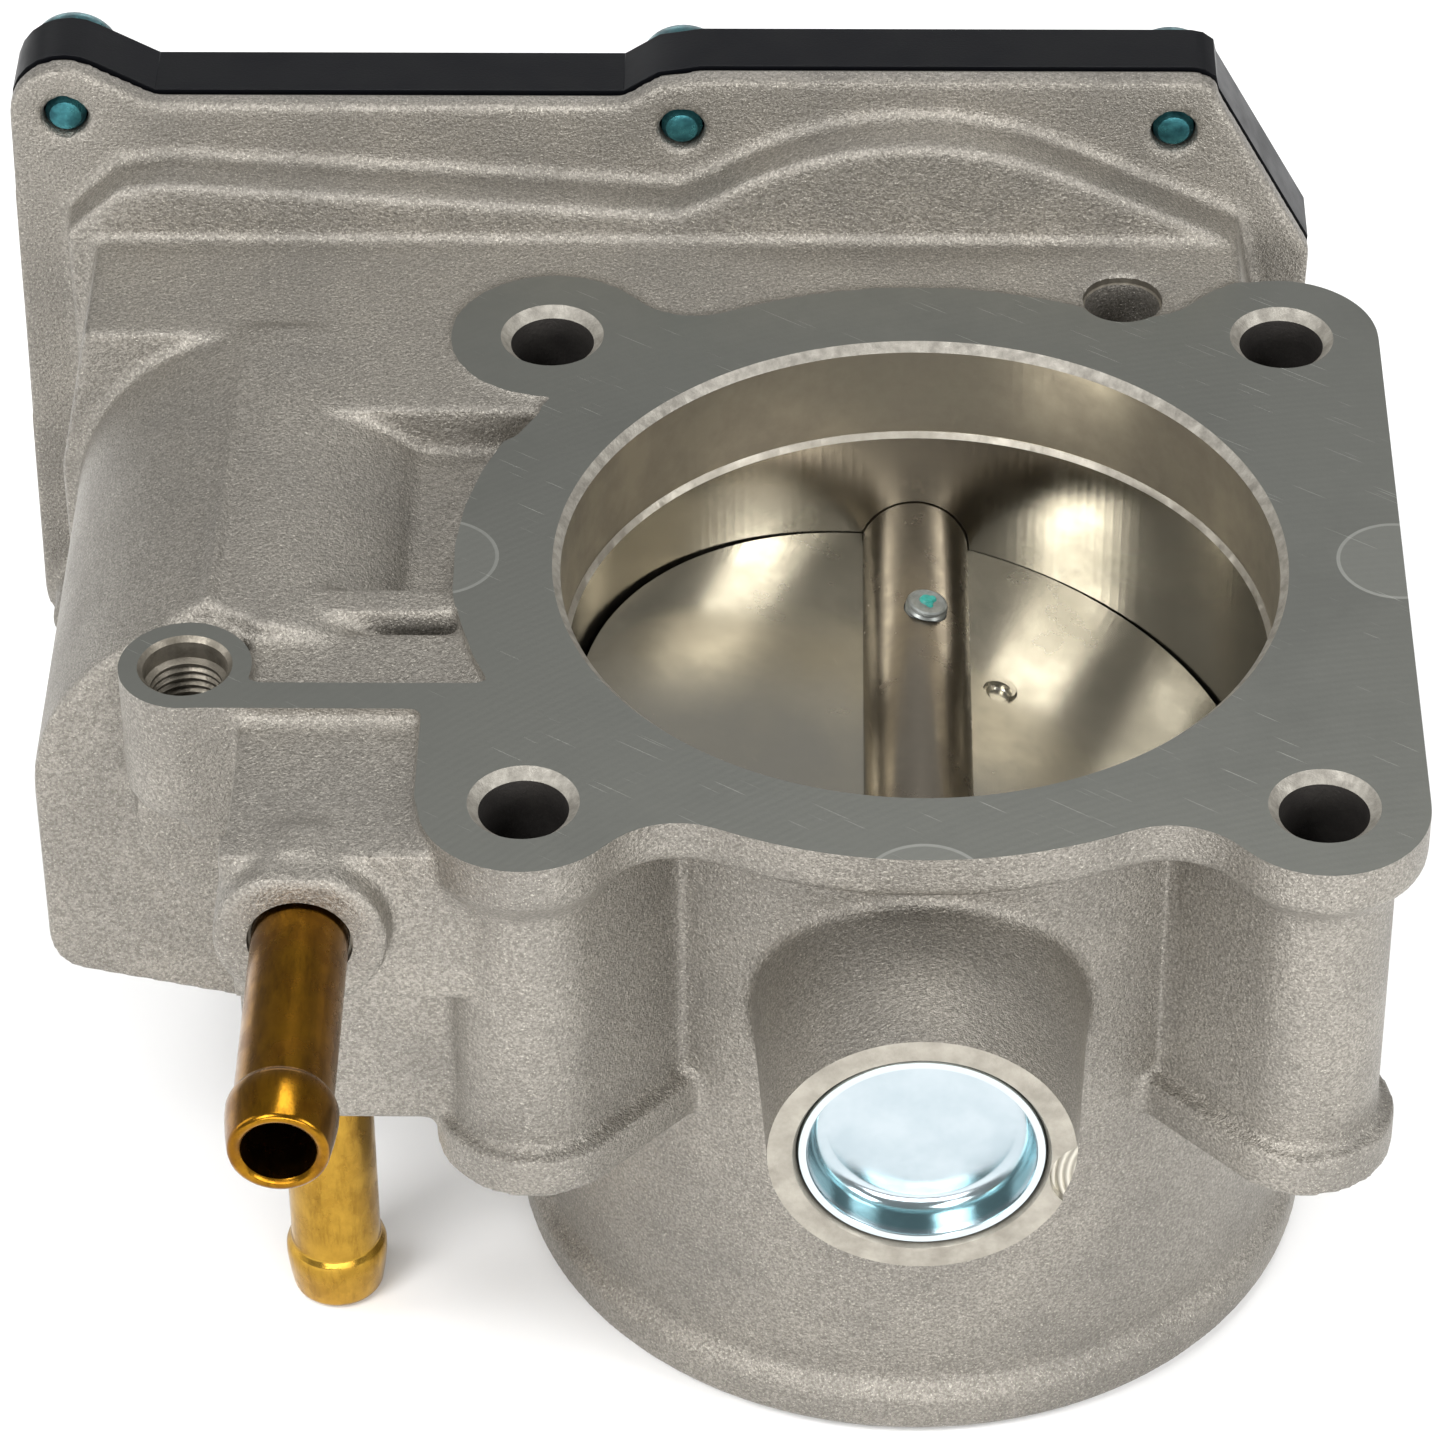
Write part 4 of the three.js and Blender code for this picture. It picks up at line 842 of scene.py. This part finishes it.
bore_profile = [
    (0, BORE["end"] - 3),
    (36, BORE["end"] - 3),
    (35, -75.6),
    (34.2, -74.4),
    (BORE["radius"], -72),
    (BORE["radius"], BORE["step"]),
    (0, BORE["step"]),
]
floor_height = BORE["step"] - 0.05
mouth_profile = [(0, floor_height), (BORE["mouth"], floor_height), (BORE["mouth"], 3), (0, 3)]
lip_profile = [(0, -1.6), (32.35, -1.6), (33.95, 0.25), (34.6, 1.0), (0, 1.0)]
step_profile = [(0, -10.9), (32.4, -10.9), (BORE["mouth"], BORE["step"]), (0, BORE["step"])]
carve(housing, [cutter(turned(bore_profile, steps=200), bright_bore)])
carve(housing, [cutter(turned(mouth_profile, steps=200), mouth_wall)])
carve(housing, [cutter(turned(step_profile, steps=200), turned_face)])
carve(housing, [cutter(turned(lip_profile, steps=200), cut_edge)])
print("bore cut:", len(housing.data.polygons), "faces")

# %% [markdown]
# Four bolt holes, the tapped hole of the bracket boss and the blind one behind the flange come
# next. A true thread is a helix, but rings look the same from outside and stay one closed profile.

# %% Bolt holes and tapped holes
BLIND = {"x": 20, "y": 41.2}


def bolt_hole(x, y):
    """A cored hole with its drilled chamfer."""
    chamfer_depth = 0.95
    over = 0.5
    hole = bar_z(x, y, -42, 2.0, BOLT_HOLE, sides=72)
    wide = BOLT_HOLE + chamfer_depth + over
    lip = bar_z(x, y, -chamfer_depth, over, BOLT_HOLE, wide, sides=72)
    return [cutter(hole, hole_wall_painted_shade), cutter(lip, cut_edge)]


def tapped_hole(x, y, bottom, mouth):
    """A tapped hole. Its thread is drawn as rings, and stops below a plain mouth."""
    radius = TAP["radius"]
    pitch = TAP["pitch"]
    profile = [(0, bottom - radius * 0.5), (radius - 0.3, bottom)]
    height = bottom
    while height < mouth - pitch:
        profile.append((radius - 0.3, height + 0.15 * pitch))
        profile.append((radius, height + 0.5 * pitch))
        profile.append((radius - 0.3, height + 0.85 * pitch))
        height += pitch
    wide = radius + 0.25
    profile += [(radius - 0.3, mouth - 0.3), (wide, mouth), (wide, -0.45), (wide + 0.95, 0.5)]
    profile += [(wide + 0.95, 2.0), (0, 2.0)]
    return cutter(turned(profile, x, y, steps=64), bored)


for x, y in BOLTS:
    carve(housing, bolt_hole(x, y))
carve(housing, [tapped_hole(BRACKET["x"], BRACKET["y"], -11.5, -2.2)])
carve(housing, [tapped_hole(BLIND["x"], BLIND["y"], -7.4, -1.2)])
print("holes cut:", len(BOLTS) + 2)

# %% [markdown]
# From the front, one stepped tool cuts everything on the shaft's line: the plug's seat, the ball
# bearing's, the shaft's own hole, and the rear bearing's. Cutting them as one turned profile keeps
# them on one line, as a single set-up in the lathe does.

# %% The shaft's line
face_box = block((-20, 20), (PLUG["face"] - 6, PLUG["face"]), (-44, -6))
carve(housing, [cutter(face_box, turned_face)])
seat = turned(
    [
        (0, PLUG["face"] - 2),
        (PLUG["radius"] + 1.0, PLUG["face"] - 1),
        (PLUG["radius"] + 0.05, PLUG["face"] + 0.5),
        (PLUG["radius"] + 0.05, -42),
        (8.3, -42),
        (8.3, -37.8),
        (SHAFT["radius"] + 0.12, -37.8),
        (SHAFT["radius"] + 0.12, 33.5),
        (7.3, 33.5),
        (7.3, 43.1),
        (8.3, 43.1),
        (8.3, 62),
        (0, 62),
    ],
    SHAFT["x"],
    0,
    SHAFT["z"],
    axis="Y",
    steps=144,
)
carve(housing, [cutter(seat, turned_face)])
bite = bar_y(15.2, -26.4, -60, PLUG["face"] + 0.9, 4.0, sides=48)
carve(housing, [cutter(bite, nick)])

# The open stop's post is trimmed, so the sector gear meets it without cutting in.
trim = turned(
    [(2.92, 51.3), (3.35, 51.3), (3.35, 58.9), (2.92, 58.9)],
    STOP["x"],
    0,
    STOP["z"],
    axis="Y",
    steps=64,
)
carve(housing, [cutter(trim, bored)])
print("shaft's line cut:", len(housing.data.polygons), "faces")

# %% [markdown]
# The motor drops into a deep round well from the gear case, and the coolant pipes press into two
# drilled bores that meet inside the block. The pipes' bores start a little wide, which leaves the
# thin dark line that shows a pressed joint.

# %% The motor's well and the pipes' bores
motor_profile = [
    (0, -11.2),
    (6.5, -11.2),
    (6.5, -7.2),
    (MOTOR["bore"], -7.2),
    (MOTOR["bore"], 42),
    (0, 42),
]
motor_hole = turned(motor_profile, MOTOR["x"], 0, MOTOR["z"], axis="Y", steps=96)
carve(housing, [cutter(motor_hole, turned_face)])
seat_radius = PIPE_RADIUS + 0.06
root_radius = seat_radius + 0.3
root_end = FRONT_PIPE["face"] + 0.9
pipe_bores = [
    bar_y(FRONT_PIPE["x"], FRONT_PIPE["z"], -50, FRONT_PIPE["seat"], seat_radius, sides=64),
    bar_y(FRONT_PIPE["x"], FRONT_PIPE["z"], -50, root_end, root_radius, sides=64),
    bar_y(FRONT_PIPE["x"], FRONT_PIPE["z"], -36, -14.8, PIPE_BORE, sides=64),
    bar_z(LOWER_PIPE["x"], LOWER_PIPE["y"], -50, LOWER_PIPE["seat"], seat_radius, sides=64),
    bar_z(LOWER_PIPE["x"], LOWER_PIPE["y"], -36, -8.6, PIPE_BORE, sides=64),
]
carve(housing, [cutter(piece, bored) for piece in pipe_bores])
print("machined:", len(housing.data.polygons), "faces,", len(housing.data.materials), "surfaces")

# %% [markdown]
# A cast skin shades softly, but a machined face must end in a hard line. Sharpness could follow the
# angle alone, but where a cutter only grazes the skin the angle is small. So every edge between two
# surfaces is marked sharp as well.

# %% Keep the machined edges crisp
modify(housing, "TRIANGULATE")
sharpen_between_surfaces(housing)
print("finished casting:", len(housing.data.polygons), "triangles")
finish_piece(housing, "housing", "housing_body", None, 38)

# %% [markdown]
# The shaft is ground steel bar, slotted for the plate. It turns with the plate and its screws, so
# all of them are modelled flat, round the shaft's line, and then tilted to the angle where the
# spring leaves them. Building them tilted would put that angle into every number.

# %% Shaft
SCREW_Y = 16.2
SLOT_HALF = 0.86
SCREW_HOLE = 2.1


def tilt(piece):
    only(piece)
    piece.rotation_euler = (0, REST_TILT, 0)
    piece.location = (SHAFT["x"] * MM, 0, SHAFT["z"] * MM)
    return bake(piece, piece.name)


def chamfer(piece, width_mm, segments=2, degrees=30):
    return modify(
        piece,
        "BEVEL",
        width=width_mm * MM,
        segments=segments,
        limit_method="ANGLE",
        angle_limit=math.radians(degrees),
        use_clamp_overlap=True,
    )


shaft = bar_y(0, 0, -47.9, 53.1, SHAFT["radius"], sides=96)
shaft = unite([shaft, bar_y(0, 0, 52, 61.8, 4.0, sides=64)], "throttle_shaft_steel")
carve(shaft, [block((-9, 9), (-32.9, 32.9), (-SLOT_HALF, SLOT_HALF))])
for side in (-SCREW_Y, SCREW_Y):
    hole = bar_z(0, side, -9, 9, SCREW_HOLE, sides=48)
    head_seat = bar_z(0, side, -9, -3.9, 3.55, sides=48)
    carve(shaft, [hole, head_seat])
chamfer(shaft, 0.12)
finish_piece(tilt(shaft), "throttle_shaft", "throttle", shaft_steel)
print("shaft:", len(shaft.data.polygons), "faces")

# %% [markdown]
# The plate is stamped from rolled brass. A round plate couldn't close at an angle, so it is an
# ellipse: it is longer across the shaft, by just as much as the closed angle needs. A scaled disc
# gives that in one line, where an outline would need many points.

# %% Plate
PLATE_ALONG = 32.42
CLOSED_TILT = math.radians(6)
THICK = 1.6
PLATE_ACROSS = (PLATE_ALONG - THICK / 2 * math.sin(CLOSED_TILT)) / math.cos(CLOSED_TILT)
bpy.ops.mesh.primitive_cylinder_add(vertices=240, radius=1, depth=THICK * MM)
plate = bpy.context.object
plate.scale = (PLATE_ACROSS * MM, PLATE_ALONG * MM, 1)
bake(plate, "throttle_plate_brass")
carve(plate, [bar_z(0, side, -3, 3, SCREW_HOLE, sides=48) for side in (-SCREW_Y, SCREW_Y)])
# A prick punch has thrown up a lip on one side of its dimple.
carve(plate, [bar_z(8, 10.6, 0.45, 2, 0.9, 2.6, sides=48)])
lip = bar_z(8.1, 10.9, 0.6, 1.25, 1.75, 1.5, sides=48)
carve(lip, [bar_z(7.7, 10.3, 0, 3, 1.3, 1.7, sides=48)])
unite([plate, lip], "throttle_plate_brass")
chamfer(plate, 0.12)
finish_piece(tilt(plate), "throttle_plate", "throttle", plate_brass)
print("plate:", len(plate.data.polygons), "faces")

# %% [markdown]
# Two screws hold the plate in its slot. Their heads sit under the shaft and their tips stand proud
# of it, where one is sealed with paint so that it can't work loose. Each is one turned profile with
# a cross cut into its head.

# %% Plate screws
SCREW = {"radius": 2.05, "pitch": 0.6, "depth": 0.22}
CROSS = {"long": 1.8, "half": 0.4}


def rod_thread(radius, start, end, pitch, depth):
    """Profile points of a thread seen from the side, as rings."""
    points = []
    count = max(1, round((end - start) / pitch))
    step = (end - start) / count
    for i in range(count):
        low = start + i * step
        points.append((radius - depth, low + 0.1 * step))
        points.append((radius, low + 0.5 * step))
        points.append((radius - depth, low + 0.9 * step))
    return points


for name, side in (("plate_screw_front", -SCREW_Y), ("plate_screw_rear", SCREW_Y)):
    bars = []
    seat_height = -SHAFT["radius"] + 1.1
    profile = [(0, seat_height - 1.5), (2.6, seat_height - 1.5), (3.2, seat_height - 1.0)]
    profile += [(3.4, seat_height), (1.9, seat_height)]
    tip = SHAFT["radius"] + 0.75
    profile += rod_thread(SCREW["radius"], 1.0, tip - 0.45, SCREW["pitch"], SCREW["depth"])
    profile += [(2.0, tip - 0.3), (1.9, tip - 0.1), (1.7, tip), (1.25, tip - 0.05), (0, tip - 0.12)]
    screw = turned(profile, 0, side, 0, steps=48, name=name + "_steel")
    recess = (-9, seat_height - 0.6)
    for wide, deep in ((CROSS["half"], CROSS["long"]), (CROSS["long"], CROSS["half"])):
        bars.append(block((-wide, wide), (side - deep, side + deep), recess))
    carve(screw, bars)
    finish_piece(tilt(screw), name, "throttle", dull_zinc)
print("plate screws done")

# %% [markdown]
# The dab of locking paint is brushed on by hand, so it is uneven: three flat drops of different
# size run into one another on the screw's tip. Its colour is an opaque blue-green enamel.

# %% Locking paint
TIP = SHAFT["radius"] + 0.5
dab = bar_z(-0.1, SCREW_Y + 0.25, TIP, TIP + 0.42, 0.85, 0.55, sides=24)
dab = unite([dab, bar_z(0.45, SCREW_Y + 0.55, TIP, TIP + 0.38, 0.55, 0.3, sides=20)])
dab = unite([dab, bar_z(0.2, SCREW_Y - 0.45, TIP, TIP + 0.36, 0.45, 0.25, sides=20)])
dab.name = "locking_paint"
paint, tree, shader, place = surface("locking paint", "#2E9A8E", "#1F7A72", 0.35, 0.0, 0.6)
cutter(tilt(dab), paint)
smooth(dab)
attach(dab, "throttle")
print("paint done")

# %% [markdown]
# The plug is a shallow cup, drawn from sheet and pressed in over the front bearing. A turned
# profile gives its floor, the soft corner, the drawn wall and the thin rim in one go.

# %% Cup plug
RIM = PLUG["face"] + 0.32
cup = turned(
    [
        (0, -49.9),
        (8.4, -49.9),
        (9.1, -50.1),
        (9.6, -50.6),
        (9.85, -51.3),
        (10.0, RIM + 0.25),
        (10.15, RIM),
        (10.8, RIM),
        (11.0, RIM + 0.25),
        (11.0, -49.9),
        (10.7, -49.2),
        (10.0, -48.9),
        (0, -48.9),
    ],
    SHAFT["x"],
    0,
    SHAFT["z"],
    axis="Y",
    steps=144,
    name="cup_plug",
)
finish_piece(cup, "shaft_cup_plug", "housing_body", zinc, 40)
print("plug done")

# %% [markdown]
# The two coolant pipes are one design in two lengths: a tube with a rounded mouth and a bead rolled
# near it, which keeps the hose from slipping off. So one function draws the profile for a length.

# %% Coolant pipes
BEAD = 4.85


def pipe_profile(length):
    return [
        (PIPE_BORE, 0.35),
        (PIPE_BORE + 0.25, 0.08),
        (PIPE_BORE + 0.5, 0),
        (PIPE_RADIUS - 0.3, 0),
        (PIPE_RADIUS - 0.05, 0.15),
        (PIPE_RADIUS + 0.08, 0.5),
        (PIPE_RADIUS + 0.35, 2.2),
        (4.78, 3.4),
        (BEAD, 4.1),
        (BEAD, 5.1),
        (4.7, 5.6),
        (PIPE_RADIUS + 0.12, 5.95),
        (PIPE_RADIUS, 6.3),
        (PIPE_RADIUS, length - 0.5),
        (PIPE_RADIUS - 0.5, length),
        (PIPE_BORE, length),
    ]


front = turned(
    pipe_profile(FRONT_PIPE["seat"] - 0.3 - FRONT_PIPE["end"]),
    FRONT_PIPE["x"],
    FRONT_PIPE["end"],
    FRONT_PIPE["z"],
    axis="Y",
    steps=96,
    name="front_pipe_brass",
)
finish_piece(front, "front_coolant_pipe", "housing_body", amber, 40)
lower = turned(
    pipe_profile(LOWER_PIPE["seat"] - 0.3 - LOWER_PIPE["end"]),
    LOWER_PIPE["x"],
    LOWER_PIPE["y"],
    LOWER_PIPE["end"],
    steps=96,
    name="lower_pipe_brass",
)
finish_piece(lower, "lower_coolant_pipe", "housing_body", brass, 40)
print("pipes done")

# %% [markdown]
# The cover is a black moulding that closes the gear case, with its connector's open socket. A mould
# gives it small, even radii. Melting it like the casting would fray its thin ribs, so its edges are
# bevelled. Flat faces are first joined up, because a bevel needs clean edges to follow.

# %% Cover
FLAT = math.radians(0.5)
cover = copy_of("gear_cover", "moulded_cover")
modify(cover, "DECIMATE", decimate_type="DISSOLVE", angle_limit=FLAT)
chamfer(cover, 0.5, 3, 25)
modify(cover, "TRIANGULATE")
finish_piece(cover, "gear_cover", "housing_body", plastic, 40)
print("cover:", len(cover.data.polygons), "triangles")

# %% [markdown]
# Six screws hold the cover. Their heads are behind, and their tips show through the housing's rim,
# so each is a full screw: a rounded tip, ringed thread, and a domed head with a hex socket. Their
# places and lengths are read from the frame, so the profile is written only once.

# %% Cover screws
HEAD = {"radius": 4.6, "height": 4.0}
for node in sorted(SLOTS):
    if not node.startswith("cover_screw_"):
        continue
    low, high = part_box(node)
    x = (low.x + high.x) / 2 / MM
    z = (low.z + high.z) / 2 / MM
    start = low.y / MM
    top = high.y / MM
    under = top - HEAD["height"]
    profile = [(0, start + 0.75), (1.0, start + 0.7), (1.55, start + 0.9)]
    profile += rod_thread(2.0, start + 1.2, under - 1.0, 0.7, 0.28)
    profile += [(2.0, under), (HEAD["radius"] - 0.2, under), (HEAD["radius"], under + 0.25)]
    profile += [(HEAD["radius"], under + 1.4), (4.35, under + 2.4), (3.8, under + 3.2)]
    profile += [(3.0, under + 3.75), (2.2, top), (0, top)]
    screw = turned(profile, x, 0, z, axis="Y", steps=48, name=node + "_steel")
    socket = bar_y(x, z, under + 1.7, top + 1, 2.0, sides=6)
    carve(screw, [socket])
    finish_piece(screw, node, "housing_body", teal)
print("cover screws done")

# %% [markdown]
# Everything inside keeps the frame's own shape: bearings, seals, gears, spring, motor and board.
# None of it shows while the case is shut, so it isn't modelled again. Its sharp edges are broken a
# little, as tumbling or moulding does, which is enough to catch the light.

# %% Inner pieces
BY_SLOT = {
    "steel": steel,
    "zinc_plate": zinc,
    "teal_zinc": teal,
    "pipe_brass": brass,
    "black_plastic": plastic,
    "gear_plastic": gear_plastic,
    "rubber": rubber,
    "bearing_steel": steel,
    "can_steel": can,
    "ferrite": ferrite,
    "windings": copper,
    "spring_steel": wire,
    "circuit_board": board,
    "tin_plate": tin,
}
DONE = {name for piece in bpy.data.objects for name in piece.get("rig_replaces", [])}
for node in sorted(set(SLOTS) - DONE):
    piece = copy_of(node, node + "_finished")
    modify(piece, "DECIMATE", decimate_type="DISSOLVE", angle_limit=FLAT)
    chamfer(piece, 0.12, 1, 35)
    finish_piece(piece, node, BODY_OF[node], BY_SLOT[SLOTS[node]], 34)
print("inner pieces:", len(set(SLOTS) - DONE))

# %% [markdown]
# The part stands on white paper, as for a catalogue. The floor is wide and a little below the part,
# so its edge never shows and the shadow stays soft.

# %% Floor
low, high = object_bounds()
bpy.ops.mesh.primitive_plane_add(size=6, location=(0, 0, low.z - 0.0004))
floor = bpy.context.object
floor.name = "floor"
paper = bpy.data.materials.new("white paper")
paper.use_nodes = True
paper.node_tree.nodes["Principled BSDF"].inputs["Base Color"].default_value = linear("#FAFAFA")
paper.node_tree.nodes["Principled BSDF"].inputs["Roughness"].default_value = 0.9
floor.data.materials.append(paper)
print("floor laid")

# %% [markdown]
# Metal shows what is round it, so the lights are chosen as shapes. Large softboxes above and in
# front make the wide, soft highlights, smaller ones at the sides draw the edges, and a dim world
# fills the shadows. One bright lamp would give hard glints and a black bore instead.

# %% Lights
world = bpy.data.worlds.new("studio")
bpy.context.scene.world = world
world.use_nodes = True
world.node_tree.nodes["Background"].inputs["Color"].default_value = (1, 1, 1, 1)
world.node_tree.nodes["Background"].inputs["Strength"].default_value = 0.36
bpy.context.scene.view_settings.view_transform = "Standard"


def softbox(name, place, target, width, height, power):
    data = bpy.data.lights.new(name, "AREA")
    data.shape = "RECTANGLE"
    data.size = width
    data.size_y = height
    data.energy = power
    lamp = bpy.data.objects.new(name, data)
    bpy.context.collection.objects.link(lamp)
    lamp.location = place
    aim = Vector(target) - Vector(place)
    lamp.rotation_euler = aim.to_track_quat("-Z", "Y").to_euler()


CENTRE = (-0.02, 0, -0.03)
# Name, place, width and height in metres, and power in watts.
BOXES = [
    ("overhead", (0.10, 0.25, 0.85), 0.45, 0.5, 3.6),
    ("front left", (-0.36, -0.42, 0.62), 0.30, 0.42, 4.5),
    ("right", (0.66, -0.27, 0.42), 0.30, 0.36, 3.5),
    ("front", (0.05, -0.80, 0.22), 0.9, 0.25, 6.0),
    ("left", (-0.8, 0.0, 0.25), 0.3, 0.6, 2.2),
    ("back", (-0.10, 0.85, 0.10), 0.6, 0.15, 0.8),
]
for name, place, width, height, power in BOXES:
    softbox(name, place, CENTRE, width, height, power)
print(len(BOXES), "softboxes placed")

# %% [markdown]
# The camera looks down at the front, a little from the right, through a long lens that keeps round
# holes round. It is placed by two angles and a distance, because they say plainly where it stands.

# %% Camera
ELEVATION = math.radians(39.791)
AZIMUTH = math.radians(1.221)
ROLL = math.radians(0.529)
SHIFT = (-18.238, -14.371, 559.701)
back = Vector(
    (
        math.sin(AZIMUTH) * math.cos(ELEVATION),
        -math.cos(AZIMUTH) * math.cos(ELEVATION),
        math.sin(ELEVATION),
    )
)
right = Vector((math.cos(AZIMUTH), math.sin(AZIMUTH), 0))
up = back.cross(right)
place = (right * SHIFT[0] + up * SHIFT[1] + back * SHIFT[2]) * MM
rolled_right = right * math.cos(ROLL) - up * math.sin(ROLL)
rolled_up = right * math.sin(ROLL) + up * math.cos(ROLL)
lens = bpy.data.cameras.new("camera")
lens.lens = 152.1
lens.sensor_width = 36
lens.clip_start = 0.01
camera = bpy.data.objects.new("camera", lens)
bpy.context.collection.objects.link(camera)
turn = Matrix((rolled_right, rolled_up, back)).transposed().to_4x4()
camera.matrix_world = Matrix.Translation(place) @ turn
bpy.context.scene.camera = camera
print("camera set")
